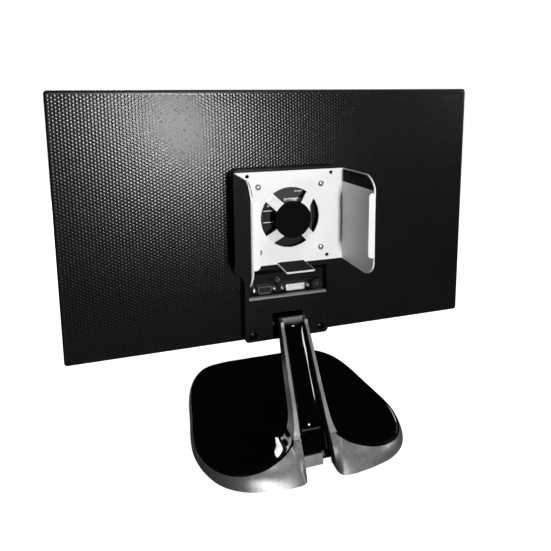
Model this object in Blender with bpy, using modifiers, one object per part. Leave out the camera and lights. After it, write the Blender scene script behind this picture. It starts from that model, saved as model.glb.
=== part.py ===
"""A flat display on a tilting stand, with an empty sheet-metal cradle for a mini PC on its back.

Axes: +X to the left as seen from behind, +Y to the rear, +Z up.  The origin is on the desk,
under the middle of the base.  The screen faces -Y.  All lengths below are in millimetres and
are turned into metres by the helpers.
"""
import bpy
import bmesh
import math
from mathutils import Matrix, Vector

MM = 0.001
GAP = 0.3

# ---------------------------------------------------------------- driving dimensions
DISPLAY_WIDTH = 511.0
DISPLAY_HEIGHT = 303.0
DISPLAY_BOTTOM = 93.0
DISPLAY_TOP = DISPLAY_BOTTOM + DISPLAY_HEIGHT
DISPLAY_MIDDLE = (DISPLAY_BOTTOM + DISPLAY_TOP) / 2
DISPLAY_CORNER = 4.0
BEZEL_FRONT = -26.0
BEZEL_BACK = -22.3
REAR_EDGE = -8.0            # rear cover at its border
REAR_CROWN = 4.0            # how far the middle of the rear cover stands out from its border
COVER_WALL = 2.2
SCREEN_WIDTH = 477.4
SCREEN_HEIGHT = 268.8
SCREEN_BOTTOM = DISPLAY_BOTTOM + 18.2
LCD_PANEL = (241.5, 137.0, -22.0, -20.4)    # half width, half height, front and back
LIGHT_GUIDE = (240.0, 135.5, -20.1, -16.1)
CHASSIS = (243.0, 139.0, -15.8, -14.6)
STANDOFF_RADIUS, STANDOFF_LENGTH = 2.6, 3.4
IN_FRONT = -45.0            # well in front of the display, where cutters end

HOUSING_BACK = 11.5         # rear face of the block in the middle of the back
HOUSING_TOP = 307.0
HOUSING_BOTTOM = 99.0
HOUSING_UPPER_HALF = 65.0
HOUSING_LOWER_HALF = 53.0
SHOULDER_TOP = 188.0
SHOULDER_BOTTOM = 178.0
HOUSING_CORNER, HOUSING_FOOT, SHOULDER_ROUND, LEAST_ROUND = 7.0, 5.0, 3.0, 2.0
WINDOW_HALF, WINDOW_BOTTOM, WINDOW_TOP = 49.0, 104.0, 301.0     # hole in the rear cover
RECESS_LEFT = 47.5
RECESS_RIGHT = -50.3
RECESS_FLOOR = 153.0
RECESS_TOP = 187.0
RECESS_BACK = 0.0
RECESS_MOUTH = HOUSING_BACK + 5.0
ROOF_DROP, ROOF_LIFT = 9.0, 3.0     # the sloping roof, below and above the recess's top

HOUSING_WALL = 2.2
PANEL_HALF = 36.3           # hole for the hinge cover
PANEL_BOTTOM, PANEL_TOP = 101.2, 139.5
SLOT_HALF = 19.0            # slot for the neck in the hinge cover
SLOT_BOTTOM, SLOT_TOP = 104.0, 132.5
HOUSING_SCREWS = (43.0, -43.0)
HOUSING_SCREW_Z = 107.0
SCREW_WELL, SCREW_WELL_LENGTH = 4.5, 11.0
BOSS_RADIUS, BOSS_FRONT, BOSS_BACK = 4.2, -1.0, 10.0
LABEL_HALF, LABEL_BOTTOM, LABEL_TOP, LABEL_THICKNESS = 31.0, 207.0, 294.0, 0.4

BOARD_FRONT, BOARD_BACK = -11.4, -9.8
MAIN_BOARD = (-50.0, 46.0, 142.0, 236.0)
BOARD_SCREWS = tuple((x, z) for x in (-46.0, 42.0) for z in (146.0, 232.0))
DRIVER_BOARD = (-44.0, 44.0, 242.0, 292.0)
DRIVER_SCREWS = ((-40.0, 267.0), (40.0, 267.0))
BOARD_HOLE = 1.7
SHIELD_HALF, SHIELD_BOTTOM, SHIELD_TOP, SHIELD_BACK = 30.0, 188.0, 230.0, -4.4
SHIELD_WALL = 0.8
FLANGE_PLATE = (-3.2, -2.0)  # front and back of the sockets' flange plates
SOCKET_FRONT = -9.4
VGA_PLATE, VGA_BODY, VGA_BACK = (15.3, 6.0), (14.5, 5.5), 5.6
DVI_PLATE, DVI_BODY, DVI_BACK = (19.2, 6.2), (18.0, 5.7), 5.2
VGA_SHELL = (17.2, 8.4, 1.4)        # width, height and how far each side slopes in
DVI_SHELL = (25.6, 8.6, 0.9)
AUDIO_RADIUS, DC_RADIUS = 3.2, 7.4
PORT_CLEARANCE = 0.4

HINGE_Y = 2.0
HINGE_Z = 116.0
SHAFT_RADIUS = 3.0
EAR_INNER = 20.3
EAR_OUTER = 22.8
EAR_ROUND = 6.0
EAR_HALF_HEIGHT = 9.0
EAR_REACH = 6.5
BRACKET_HALF, BRACKET_BOTTOM, BRACKET_TOP = 40.0, 102.0, 138.0
BRACKET_FRONT, BRACKET_BACK = -14.3, -12.3
BARREL_RADIUS = 6.4
SPINE_HALF = 10.5
TONGUE_BOTTOM, TONGUE_TOP, TONGUE_BACK = 112.2, 119.8, 35.2

CRADLE_MIDDLE = 250.25
CRADLE_FACE = 23.5
SHEET = 1.6
CRADLE_HALF = 66.0
CRADLE_BOTTOM = 196.6
CRADLE_TOP = 304.6
CRADLE_DEPTH = 100.0
CRADLE_CORNER = 23.0
FLANGE_WIDTH = 8.5
FLANGE_BOTTOM = 219.3
FLANGE_TOP = 287.0
OPENING_RADIUS = 35.0
PAD_RADIUS = 21.0
OPENING_RISE = 0.6          # the opening's middle stands this much above the screws' middle
SPIDER_RISE = 8.0
ARM_HALF_WIDTH = 6.0
TAB_HALF_WIDTH = 16.5
TAB_LENGTH = 34.0
FLANGE_CORNER = 4.0
LINER_START = CRADLE_FACE + 4.0     # past the round bend between plate and wall
LINER_BOTTOM = 289.5
LINER_INSET = 1.2
LINER_THICKNESS = 0.8
MOUNT_PITCH_HALF = 37.5
MOUNT_HOLE = 2.3
SPARE_HOLES = ((50.0, 300.2), (-50.0, 300.2), (45.6, 202.4), (-45.6, 202.4))
SPARE_HOLE = 2.2

VGA_X, VGA_Z = 26.2, 160.0
DVI_X, DVI_Z = -12.4, 159.8
AUDIO_X, AUDIO_Z = 9.6, 170.2
DC_X, DC_Z = -41.6, 159.4
VGA_POSTS = 12.5            # half the distance between a socket's jack posts
DVI_POSTS = 16.4

KEY_Z = 102.0
KEY_HALF, KEY_CORNER = (5.0, 2.0), 1.4
KEY_FLANGE = (6.2, 3.6)
POWER_RADIUS = 4.0
LENS_RADIUS, LENS_LENGTH, LENS_MIDDLE = 1.0, 5.8, -23.2
KEY_BOARD = (143.0, 236.0, 96.6, 105.6)
KEY_BOARD_FRONT, KEY_BOARD_BACK = -18.6, -17.0
SWITCH_FRONT, SWITCH_HALF = -20.2, 2.0
CAP_FRONT, CAP_BACK = -26.8, -21.6
OSD_KEYS = tuple(150.0 + 16.0 * step for step in range(4))
POWER_KEY = 226.0
LED_X = POWER_KEY - 11.0

SEAM_Z = 31.3
DISH_FLOOR = 6.0
DISH_WALL = 2.0
SKIRT_EDGE = 1.4

# neck sections from the bottom up: rear (Y, Z), front (Y, Z), half widths outside and inside
NECK = (
    ((98.8, SEAM_Z), (76.6, SEAM_Z), 24.5, 16.6),
    ((92.3, 41.0), (72.2, 36.8), 21.4, 16.0),
    ((82.0, 57.2), (64.8, 47.2), 19.4, 15.3),
    ((68.4, 77.0), (53.4, 66.4), 18.6, 14.7),
    ((53.0, 101.6), (39.2, 91.8), 17.6, 14.0),
    ((44.5, 114.7), (31.5, 105.5), 17.0, 13.4),
    ((37.5, 125.0), (26.5, 119.0), 16.5, 13.0),
    ((34.8, 130.8), (25.0, 132.3), 16.3, 12.8),
)

# half of the base, front middle round to the notch: floor outline (X, Y), rim (X, Y, Z) and
# the edge of the dish's flat floor (X, Y)
BASE = (
    ((0.0, -118.6), (0.0, -115.6, 8.0), (0.0, -101.0)),
    ((30.0, -118.6), (29.5, -115.6, 8.0), (27.0, -101.0)),
    ((58.0, -118.0), (57.0, -115.0, 8.0), (50.0, -100.0)),
    ((85.0, -111.0), (83.3, -108.4, 8.0), (72.0, -93.5)),
    ((102.5, -92.0), (99.9, -90.4, 8.0), (87.0, -78.0)),
    ((111.5, -69.0), (108.7, -68.0, 8.0), (95.0, -58.0)),
    ((116.5, -41.0), (113.5, -40.6, 8.0), (99.5, -34.0)),
    ((119.8, -6.0), (116.8, -5.8, 8.0), (102.0, -4.0)),
    ((123.4, 30.0), (120.4, 30.0, 8.0), (104.0, 26.0)),
    ((122.6, 56.0), (119.7, 55.3, 8.2), (101.0, 47.0)),
    ((115.0, 82.0), (112.3, 79.8, 9.2), (92.0, 65.0)),
    ((101.5, 103.0), (98.6, 98.9, 10.9), (82.0, 77.0)),
    ((82.0, 116.2), (80.8, 109.8, 13.2), (70.0, 83.0)),
    ((60.0, 122.2), (62.0, 112.0, 15.5), (59.0, 82.0)),
    ((40.0, 125.0), (47.0, 109.0, 18.4), (50.0, 76.0)),
    ((28.5, 125.5), (35.8, 105.4, 22.0), (44.5, 69.0)),
    ((21.0, 124.0), (28.2, 101.4, 26.4), (41.0, 62.0)),
    ((17.8, 121.0), (24.5, 97.6, 31.0), (38.0, 56.0)),
)
NECK_BAY = (                # the rim and the floor edge go on round the foot of the neck
    ((24.5, 76.6, 31.0), (32.0, 51.0)),
    ((0.0, 76.6, 31.0), (0.0, 48.0)),
)
WING_INNER = 16.6
ORIGIN_SHIFT = -3.45        # brings the middle of the base over the origin

PALETTE = {
    "rear_black": ((0.012, 0.012, 0.013), 0.0, 0.42),
    "satin_black": ((0.02, 0.02, 0.022), 0.0, 0.5),
    "gloss_black": ((0.004, 0.004, 0.005), 0.0, 0.06),
    "cradle_white": ((0.82, 0.82, 0.82), 0.2, 0.35),
    "silver_paint": ((0.36, 0.36, 0.37), 0.7, 0.32),
    "steel": ((0.55, 0.55, 0.56), 1.0, 0.3),
    "zinc": ((0.42, 0.42, 0.44), 1.0, 0.45),
    "rubber": ((0.015, 0.015, 0.015), 0.0, 0.85),
    "screen": ((0.01, 0.01, 0.012), 0.0, 0.2),
    "acrylic": ((0.7, 0.72, 0.75), 0.0, 0.1),
    "board_green": ((0.02, 0.13, 0.06), 0.0, 0.4),
    "port_white": ((0.75, 0.75, 0.74), 0.0, 0.4),
    "port_dark": ((0.03, 0.03, 0.05), 0.0, 0.4),
    "label_grey": ((0.55, 0.55, 0.55), 0.0, 0.5),
    "lens": ((0.8, 0.85, 0.9), 0.0, 0.1),
}


# ---------------------------------------------------------------- scene and materials
def clear_scene():
    for thing in list(bpy.data.objects):
        bpy.data.objects.remove(thing, do_unlink=True)


def new_collection(name):
    collection = bpy.data.collections.new(name)
    bpy.context.scene.collection.children.link(collection)
    return collection


clear_scene()
PARTS = new_collection("display_with_mini_pc_cradle")
CUTTERS = new_collection("cutters")


def material(name):
    found = bpy.data.materials.get(name)
    if found:
        return found
    colour, metallic, roughness = PALETTE[name]
    made = bpy.data.materials.new(name)
    made.use_nodes = True
    shader = made.node_tree.nodes["Principled BSDF"]
    shader.inputs["Base Color"].default_value = (*colour, 1.0)
    shader.inputs["Metallic"].default_value = metallic
    shader.inputs["Roughness"].default_value = roughness
    return made


def add(name, mesh, finish):
    """Put a mesh in the scene as a sub-part."""
    thing = bpy.data.objects.new(name, mesh)
    mesh.name = name
    mesh.materials.clear()
    mesh.materials.append(material(finish))
    PARTS.objects.link(thing)
    return thing


def hide_as_cutter(thing):
    for holder in list(thing.users_collection):
        holder.objects.unlink(thing)
    CUTTERS.objects.link(thing)
    thing.hide_render = True
    thing.display_type = "WIRE"
    return thing


def add_cutter(name, mesh):
    thing = bpy.data.objects.new(name, mesh)
    return hide_as_cutter(thing)


def boolean(target, other, operation):
    modifier = target.modifiers.new(operation.lower() + "_" + other.name, "BOOLEAN")
    modifier.operation = operation
    modifier.object = other
    return target


def cut(target, *cutters):
    for cutter in cutters:
        boolean(target, cutter, "DIFFERENCE")
    return target


def join(target, *others):
    for other in others:
        boolean(target, hide_as_cutter(other), "UNION")
    return target


def soften(thing, width, segments=2, angle=50):
    modifier = thing.modifiers.new("rounded_edges", "BEVEL")
    modifier.width = width * MM
    modifier.segments = segments
    modifier.limit_method = "ANGLE"
    modifier.angle_limit = math.radians(angle)
    return thing


def smooth(mesh, angle=35):
    mesh.shade_smooth()
    mesh.set_sharp_from_angle(angle=math.radians(angle))
    return mesh


# ---------------------------------------------------------------- shapes
def to_mesh(name, built):
    mesh = bpy.data.meshes.new(name)
    bmesh.ops.recalc_face_normals(built, faces=built.faces)
    built.to_mesh(mesh)
    built.free()
    return mesh


def block_mesh(name, low, high):
    low, high = Vector(low) * MM, Vector(high) * MM
    built = bmesh.new()
    place = Matrix.Translation((low + high) / 2) @ Matrix.Diagonal((*(high - low), 1.0))
    bmesh.ops.create_cube(built, size=1.0, matrix=place)
    return to_mesh(name, built)


def block(name, low, high, finish):
    return add(name, block_mesh(name, low, high), finish)


def block_cutter(name, low, high):
    return add_cutter(name, block_mesh(name, low, high))


AXIS_TURN = {
    "X": Matrix.Rotation(math.radians(90), 4, "Y"),
    "Y": Matrix.Rotation(math.radians(-90), 4, "X"),
    "Z": Matrix.Identity(4),
}


def cylinders_mesh(name, centres, radius, length, axis, sides=24):
    """One cylinder at each centre, which is the middle of its length."""
    built = bmesh.new()
    for centre in centres:
        place = Matrix.Translation(Vector(centre) * MM) @ AXIS_TURN[axis]
        bmesh.ops.create_cone(built, cap_ends=True, segments=sides, radius1=radius * MM,
                              radius2=radius * MM, depth=length * MM, matrix=place)
    return smooth(to_mesh(name, built))


def cylinders(name, centres, radius, length, axis, finish, sides=24):
    return add(name, cylinders_mesh(name, centres, radius, length, axis, sides), finish)


def cylinder_cutter(name, centres, radius, length, axis, sides=24):
    return add_cutter(name, cylinders_mesh(name, centres, radius, length, axis, sides))


def turned_mesh(name, profile, steps=20, closed=False):
    """Turn a profile of (radius, height) round Z.  An open profile runs from the top down."""
    built = bmesh.new()
    points = [built.verts.new((radius * MM, 0, height * MM)) for radius, height in profile]
    for first, second in zip(points, points[1:]):
        built.edges.new((first, second))
    if closed:
        built.edges.new((points[-1], points[0]))
    outline = bpy.data.meshes.new(name + "_profile")
    built.to_mesh(outline)
    built.free()
    spun = bpy.data.objects.new(name + "_profile", outline)
    PARTS.objects.link(spun)
    modifier = spun.modifiers.new("turn", "SCREW")
    modifier.steps = steps
    modifier.render_steps = steps
    modifier.use_merge_vertices = True
    modifier.merge_threshold = 0.00001
    bpy.context.view_layer.update()
    evaluated = spun.evaluated_get(bpy.context.evaluated_depsgraph_get())
    mesh = bpy.data.meshes.new_from_object(evaluated)
    bpy.data.objects.remove(spun, do_unlink=True)
    return mesh


def copies(name, mesh, places, axis, finish):
    """The same mesh at each place, its own Z along the axis, each as its own numbered node."""
    smooth(mesh)
    mesh.materials.clear()
    mesh.materials.append(material(finish))
    for index, place in enumerate(places):
        title = name if len(places) == 1 else "%s_%d" % (name, index + 1)
        thing = bpy.data.objects.new(title, mesh)
        thing.matrix_world = Matrix.Translation(Vector(place) * MM) @ AXIS_TURN[axis]
        PARTS.objects.link(thing)


def rounded(corners, segments=5):
    """Points of a polygon whose corners (u, v, radius) are replaced by arcs."""
    points = []
    count = len(corners)
    for index, (u, v, radius) in enumerate(corners):
        here = Vector((u, v))
        before = Vector(corners[index - 1][:2]) - here
        after = Vector(corners[(index + 1) % count][:2]) - here
        if radius <= 0:
            points.append(here)
            continue
        half = before.angle(after) / 2
        reach = radius / math.tan(half)
        start = here + before.normalized() * reach
        end = here + after.normalized() * reach
        centre = here + (before.normalized() + after.normalized()).normalized() * (
            radius / math.sin(half))
        first = start - centre
        sweep = first.angle_signed(end - centre)
        for step in range(segments + 1):
            spoke = first.copy()
            spoke.rotate(Matrix.Rotation(-sweep * step / segments, 2))
            points.append(centre + spoke)
    return points


PLANES = {
    "XZ": Matrix(((1, 0, 0, 0), (0, 0, 1, 0), (0, 1, 0, 0), (0, 0, 0, 1))),
    "YZ": Matrix(((0, 0, 1, 0), (1, 0, 0, 0), (0, 1, 0, 0), (0, 0, 0, 1))),
    "XY": Matrix.Identity(4),
}


def prism_mesh(name, outlines, plane, low, high):
    """A flat outline, with further outlines inside it as holes, given a thickness."""
    curve = bpy.data.curves.new(name, "CURVE")
    curve.dimensions = "2D"
    curve.fill_mode = "BOTH"
    curve.extrude = (high - low) / 2 * MM
    for outline in outlines:
        spline = curve.splines.new("POLY")
        spline.points.add(len(outline) - 1)
        spline.use_cyclic_u = True
        for point, (u, v) in zip(spline.points, outline):
            point.co = (u * MM, v * MM, 0, 1)
    flat = bpy.data.objects.new(name, curve)
    PARTS.objects.link(flat)
    bpy.context.view_layer.update()
    evaluated = flat.evaluated_get(bpy.context.evaluated_depsgraph_get())
    mesh = bpy.data.meshes.new_from_object(evaluated)
    bpy.data.objects.remove(flat, do_unlink=True)
    built = bmesh.new()
    built.from_mesh(mesh)
    bmesh.ops.remove_doubles(built, verts=built.verts, dist=0.00001)
    bmesh.ops.dissolve_limit(built, angle_limit=math.radians(1), verts=built.verts,
                             edges=built.edges)
    bmesh.ops.transform(built, verts=built.verts,
                        matrix=PLANES[plane] @ Matrix.Translation((0, 0, (low + high) / 2 * MM)))
    bpy.data.meshes.remove(mesh)
    return to_mesh(name, built)


def prism(name, outlines, plane, low, high, finish):
    return add(name, prism_mesh(name, outlines, plane, low, high), finish)


def prism_cutter(name, outlines, plane, low, high):
    return add_cutter(name, prism_mesh(name, outlines, plane, low, high))


def loft_mesh(name, rings, closed_ring=True, cap=True):
    """A skin through rings of the same number of points (millimetres), capped at both ends."""
    built = bmesh.new()
    loops = [[built.verts.new(Vector(point) * MM) for point in ring] for ring in rings]
    count = len(loops[0])
    last = count if closed_ring else count - 1
    for lower, upper in zip(loops, loops[1:]):
        for index in range(last):
            following = (index + 1) % count
            built.faces.new((lower[index], lower[following], upper[following], upper[index]))
    if cap:
        built.faces.new(loops[0])
        built.faces.new(loops[-1])
    return to_mesh(name, built)


def between(first, second, amount):
    return tuple(a + (b - a) * amount for a, b in zip(first, second))


def rectangle(half_width, half_height, radius, middle=(0.0, 0.0), segments=4):
    u, v = middle
    corners = ((u - half_width, v - half_height, radius), (u + half_width, v - half_height, radius),
               (u + half_width, v + half_height, radius), (u - half_width, v + half_height, radius))
    return rounded(corners, segments)


def circle(u, v, radius, sides=24):
    return [(u + radius * math.cos(2 * math.pi * step / sides),
             v + radius * math.sin(2 * math.pi * step / sides)) for step in range(sides)]


def mount_square(y):
    """The four places of the cradle's screws, at one depth."""
    return [(sx * MOUNT_PITCH_HALF, y, CRADLE_MIDDLE + sz * MOUNT_PITCH_HALF)
            for sx in (1, -1) for sz in (1, -1)]


# ---------------------------------------------------------------- display panel
def front_bezel():
    outer = rectangle(DISPLAY_WIDTH / 2, DISPLAY_HEIGHT / 2, DISPLAY_CORNER,
                      (0, DISPLAY_MIDDLE))
    window = rectangle(SCREEN_WIDTH / 2, SCREEN_HEIGHT / 2, 0,
                       (0, SCREEN_BOTTOM + SCREEN_HEIGHT / 2))
    bezel = prism("front_bezel", (outer, window), "XZ", BEZEL_FRONT, BEZEL_BACK, "satin_black")
    middle = (BEZEL_FRONT + BEZEL_BACK) / 2
    width, height = KEY_HALF
    holes = [prism_cutter("key_hole_%d" % (index + 1),
                          (rectangle(width + GAP, height + GAP, KEY_CORNER + GAP, (x, KEY_Z)),),
                          "XZ", BEZEL_FRONT - 2, BEZEL_BACK + 2)
             for index, x in enumerate(OSD_KEYS)]
    power = cylinder_cutter("power_hole", [(POWER_KEY, middle, KEY_Z)], POWER_RADIUS + GAP, 8,
                            "Y")
    lens = cylinder_cutter("lens_hole", [(LED_X, middle, KEY_Z)], LENS_RADIUS + GAP, 8, "Y", 12)
    return cut(bezel, *holes, power, lens)


def panel_layer(name, sizes, finish):
    half_width, half_height, front, back = sizes
    middle = SCREEN_BOTTOM + SCREEN_HEIGHT / 2
    return block(name, (-half_width, front, middle - half_height),
                 (half_width, back, middle + half_height), finish)


def panel_stack():
    panel_layer("lcd_panel", LCD_PANEL, "screen")
    panel_layer("light_guide", LIGHT_GUIDE, "acrylic")
    chassis = panel_layer("panel_chassis", CHASSIS, "zinc")
    middle = BOARD_FRONT - STANDOFF_LENGTH / 2 - GAP
    standoffs = [(x, middle, z) for x, z in BOARD_SCREWS + DRIVER_SCREWS]
    join(chassis, cylinders("standoffs", standoffs, STANDOFF_RADIUS, STANDOFF_LENGTH, "Y",
                            "zinc", 12))


def crown(x, z):
    """Y of the gently domed rear cover."""
    across = x / (DISPLAY_WIDTH / 2)
    upward = (z - DISPLAY_MIDDLE) / (DISPLAY_HEIGHT / 2)
    return REAR_EDGE + REAR_CROWN * (1 - across * across) * (1 - upward * upward)


def crown_grid(built, lift=0.0):
    """A grid over the whole back, laid on the dome."""
    made = bmesh.ops.create_grid(built, x_segments=14, y_segments=8, size=0.5)
    for point in made["verts"]:
        x = point.co.x * DISPLAY_WIDTH
        z = DISPLAY_MIDDLE + point.co.y * DISPLAY_HEIGHT
        point.co = Vector((x, crown(x, z) + lift, z)) * MM


def rear_cover():
    built = bmesh.new()
    crown_grid(built)
    border = [edge for edge in built.edges if edge.is_boundary]
    pulled = bmesh.ops.extrude_edge_only(built, edges=border)["geom"]
    for point in pulled:
        if isinstance(point, bmesh.types.BMVert):
            point.co.y = (BEZEL_BACK + GAP) * MM
    mesh = to_mesh("rear_cover", built)
    if sum(face.normal.y * face.area for face in mesh.polygons) < 0:
        mesh.flip_normals()
    cover = add("rear_cover", mesh, "rear_black")
    soften(cover, DISPLAY_CORNER - 1.0, 3, 60)
    shell = cover.modifiers.new("wall", "SOLIDIFY")
    shell.thickness = COVER_WALL * MM
    shell.offset = -1
    shell.use_even_offset = True
    window = block_cutter("housing_window", (-WINDOW_HALF, IN_FRONT, WINDOW_BOTTOM),
                          (WINDOW_HALF, HOUSING_BACK, WINDOW_TOP))
    return cut(cover, window)


def crown_cutter():
    """Everything in front of the dome, plus the gap: it fits the housing to the cover."""
    built = bmesh.new()
    crown_grid(built, GAP)
    border = [edge for edge in built.edges if edge.is_boundary]
    pulled = bmesh.ops.extrude_edge_only(built, edges=border)["geom"]
    low = [point for point in pulled if isinstance(point, bmesh.types.BMVert)]
    for point in low:
        point.co.y = IN_FRONT * MM
    rim = [edge for edge in built.edges if edge.is_boundary]
    bmesh.ops.contextual_create(built, geom=rim)
    return add_cutter("crown_cutter", to_mesh("crown_cutter", built))


# ---------------------------------------------------------------- centre housing
def housing_outline(inset=0.0):
    upper = HOUSING_UPPER_HALF - inset
    lower = HOUSING_LOWER_HALF - inset
    corner = max(HOUSING_CORNER - inset, LEAST_ROUND)
    foot = max(HOUSING_FOOT - inset, LEAST_ROUND)
    top = HOUSING_TOP - inset
    bottom = HOUSING_BOTTOM + inset
    half = ((lower, bottom, foot), (lower, SHOULDER_BOTTOM, SHOULDER_ROUND),
            (upper, SHOULDER_TOP, SHOULDER_ROUND), (upper, top, corner))
    other = tuple((-u, v, r) for u, v, r in reversed(half))
    return rounded(half + other, 4)


def recess_profile(grow):
    """Side view (Y, Z) of the port recess, whose roof slopes."""
    return ((RECESS_BACK - grow, RECESS_FLOOR - grow), (RECESS_MOUTH, RECESS_FLOOR - grow),
            (RECESS_MOUTH, RECESS_TOP + grow + ROOF_LIFT),
            (RECESS_BACK - grow, RECESS_TOP + grow - ROOF_DROP))


def port_hole(name, x, z, plate):
    outline = rectangle(plate[0] + PORT_CLEARANCE, plate[1] + PORT_CLEARANCE, 1, (x, z))
    return prism_cutter(name, (outline,), "XZ", -6, 3)


def centre_housing():
    housing = prism("centre_housing", (housing_outline(),), "XZ", -12, HOUSING_BACK,
                    "satin_black")
    soften(housing, 1.5, 2, 60)
    cavity = prism_cutter("housing_cavity", (housing_outline(HOUSING_WALL),), "XZ", -20,
                          HOUSING_BACK - HOUSING_WALL)
    jacket = prism_cutter("recess_jacket", (recess_profile(HOUSING_WALL),), "YZ",
                          RECESS_RIGHT - HOUSING_WALL, RECESS_LEFT + HOUSING_WALL)
    cut(cavity, jacket)
    recess = prism_cutter("port_recess", (recess_profile(0),), "YZ", RECESS_RIGHT, RECESS_LEFT)
    panel = block_cutter("hinge_panel_hole", (-PANEL_HALF, 4, PANEL_BOTTOM),
                         (PANEL_HALF, 14, PANEL_TOP))
    ports = (
        port_hole("vga_hole", VGA_X, VGA_Z, VGA_PLATE),
        port_hole("dvi_hole", DVI_X, DVI_Z, DVI_PLATE),
        cylinder_cutter("audio_hole", [(AUDIO_X, 0, AUDIO_Z)], AUDIO_RADIUS + PORT_CLEARANCE, 8,
                        "Y", 20),
        cylinder_cutter("dc_hole", [(DC_X, 0, DC_Z)], DC_RADIUS + PORT_CLEARANCE, 8, "Y", 28),
    )
    screws = cylinder_cutter("housing_screw_holes",
                             [(x, HOUSING_BACK, HOUSING_SCREW_Z) for x in HOUSING_SCREWS],
                             SCREW_WELL, SCREW_WELL_LENGTH, "Y", 20)
    mounts = cylinder_cutter("mount_holes", mount_square(5), MOUNT_HOLE, 18, "Y", 16)
    cut(housing, cavity)
    bosses = mount_square((BOSS_FRONT + BOSS_BACK) / 2)
    join(housing, cylinders("mount_bosses", bosses, BOSS_RADIUS, BOSS_BACK - BOSS_FRONT, "Y",
                            "satin_black", 16))
    return cut(housing, crown_cutter(), recess, panel, *ports, screws, mounts)


def hinge_cover():
    """The snap-in panel round the neck's slot."""
    middle = (PANEL_BOTTOM + PANEL_TOP) / 2
    outer = rectangle(PANEL_HALF - GAP, middle - PANEL_BOTTOM - GAP, 1.5, (0, middle), 3)
    slot = ((-SLOT_HALF, SLOT_BOTTOM), (SLOT_HALF, SLOT_BOTTOM), (SLOT_HALF, SLOT_TOP),
            (-SLOT_HALF, SLOT_TOP))
    return prism("hinge_cover", (outer, slot), "XZ", HOUSING_BACK - HOUSING_WALL, HOUSING_BACK,
                 "satin_black")


def housing_small_parts():
    screw = turned_mesh("housing_screw", [(0, 0), (3.0, -0.2), (3.6, -0.9), (3.6, -2.0),
                                          (1.5, -2.0), (1.5, -12), (0, -12)], 16)
    copies("housing_screw", screw, [(x, HOUSING_BACK - 1.7, HOUSING_SCREW_Z)
                                    for x in HOUSING_SCREWS], "Y", "zinc")
    block("rating_label", (-LABEL_HALF, HOUSING_BACK + GAP, LABEL_BOTTOM),
          (LABEL_HALF, HOUSING_BACK + GAP + LABEL_THICKNESS, LABEL_TOP), "label_grey")


# ---------------------------------------------------------------- electronics and ports
def board(name, edges, screws):
    left, right, bottom, top = edges
    plate = block(name, (left, BOARD_FRONT, bottom), (right, BOARD_BACK, top), "board_green")
    middle = (BOARD_FRONT + BOARD_BACK) / 2
    return cut(plate, cylinder_cutter(name + "_holes", [(x, middle, z) for x, z in screws],
                                      BOARD_HOLE, 6, "Y", 12))


def boards():
    board("main_board", MAIN_BOARD, BOARD_SCREWS)
    board("led_driver_board", DRIVER_BOARD, DRIVER_SCREWS)
    low = Vector((-SHIELD_HALF, BOARD_BACK + GAP, SHIELD_BOTTOM))
    high = Vector((SHIELD_HALF, SHIELD_BACK, SHIELD_TOP))
    wall = Vector((SHIELD_WALL, SHIELD_WALL, SHIELD_WALL))
    can = block("board_shield", low, high, "zinc")
    inside = low + wall
    inside.y = BOARD_FRONT
    cut(can, block_cutter("shield_inside", inside, high - wall))


def d_shape(x, z, sizes):
    """The outline of a D-shaped connector shell."""
    width, height, slope = sizes
    half = width / 2
    return rounded(((x - half + slope, z - height / 2, 1.2), (x + half - slope, z - height / 2, 1.2),
                    (x + half, z + height / 2, 1.2), (x - half, z + height / 2, 1.2)), 3)


def video_socket(name, x, z, plate_half, body_half, shell):
    """A socket's flange plate, the body behind it and the shell that stands out of it."""
    front, back = FLANGE_PLATE
    socket = block(name, (x - plate_half[0], front, z - plate_half[1]),
                   (x + plate_half[0], back, z + plate_half[1]), "zinc")
    body = block(name + "_body", (x - body_half[0], SOCKET_FRONT, z - body_half[1]),
                 (x + body_half[0], front + 0.2, z + body_half[1]), "port_dark")
    return join(socket, body, shell)


def connectors():
    front = FLANGE_PLATE[1] - 0.5
    shell = prism("vga_shell", (d_shape(VGA_X, VGA_Z, VGA_SHELL),), "XZ", front, VGA_BACK, "zinc")
    video_socket("vga_connector", VGA_X, VGA_Z, VGA_PLATE, VGA_BODY, shell)
    shell = prism("dvi_shell", (d_shape(DVI_X, DVI_Z, DVI_SHELL),), "XZ", front, DVI_BACK,
                  "port_white")
    video_socket("dvi_connector", DVI_X, DVI_Z, DVI_PLATE, DVI_BODY, shell)
    post = turned_mesh("jackpost", [(0, 6.2), (1.4, 6.2), (2.7, 5.4), (2.7, 0), (0, 0)], 6)
    copies("jackpost", post,
           [(VGA_X + side * VGA_POSTS, FLANGE_PLATE[1] + GAP, VGA_Z) for side in (1, -1)]
           + [(DVI_X + side * DVI_POSTS, FLANGE_PLATE[1] + GAP, DVI_Z) for side in (1, -1)], "Y",
           "steel")
    audio = turned_mesh("audio", [(0, -5.2), (1.8, -5.2), (1.8, 3.6), (AUDIO_RADIUS, 3.6),
                                  (AUDIO_RADIUS, -4.0), (4.6, -4.0), (4.6, -9.5), (0, -9.5)], 20)
    copies("audio_jack", audio, [(AUDIO_X, 0, AUDIO_Z)], "Y", "steel")
    socket = turned_mesh("dc", [(0, 1.5), (1.0, 1.2), (1.0, -5.0), (3.2, -5.0), (3.2, 3.4),
                                (DC_RADIUS, 3.4), (DC_RADIUS, -6.0), (5.5, -9.2), (0, -9.2)], 28)
    copies("dc_jack", socket, [(DC_X, 0, DC_Z)], "Y", "port_dark")


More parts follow.
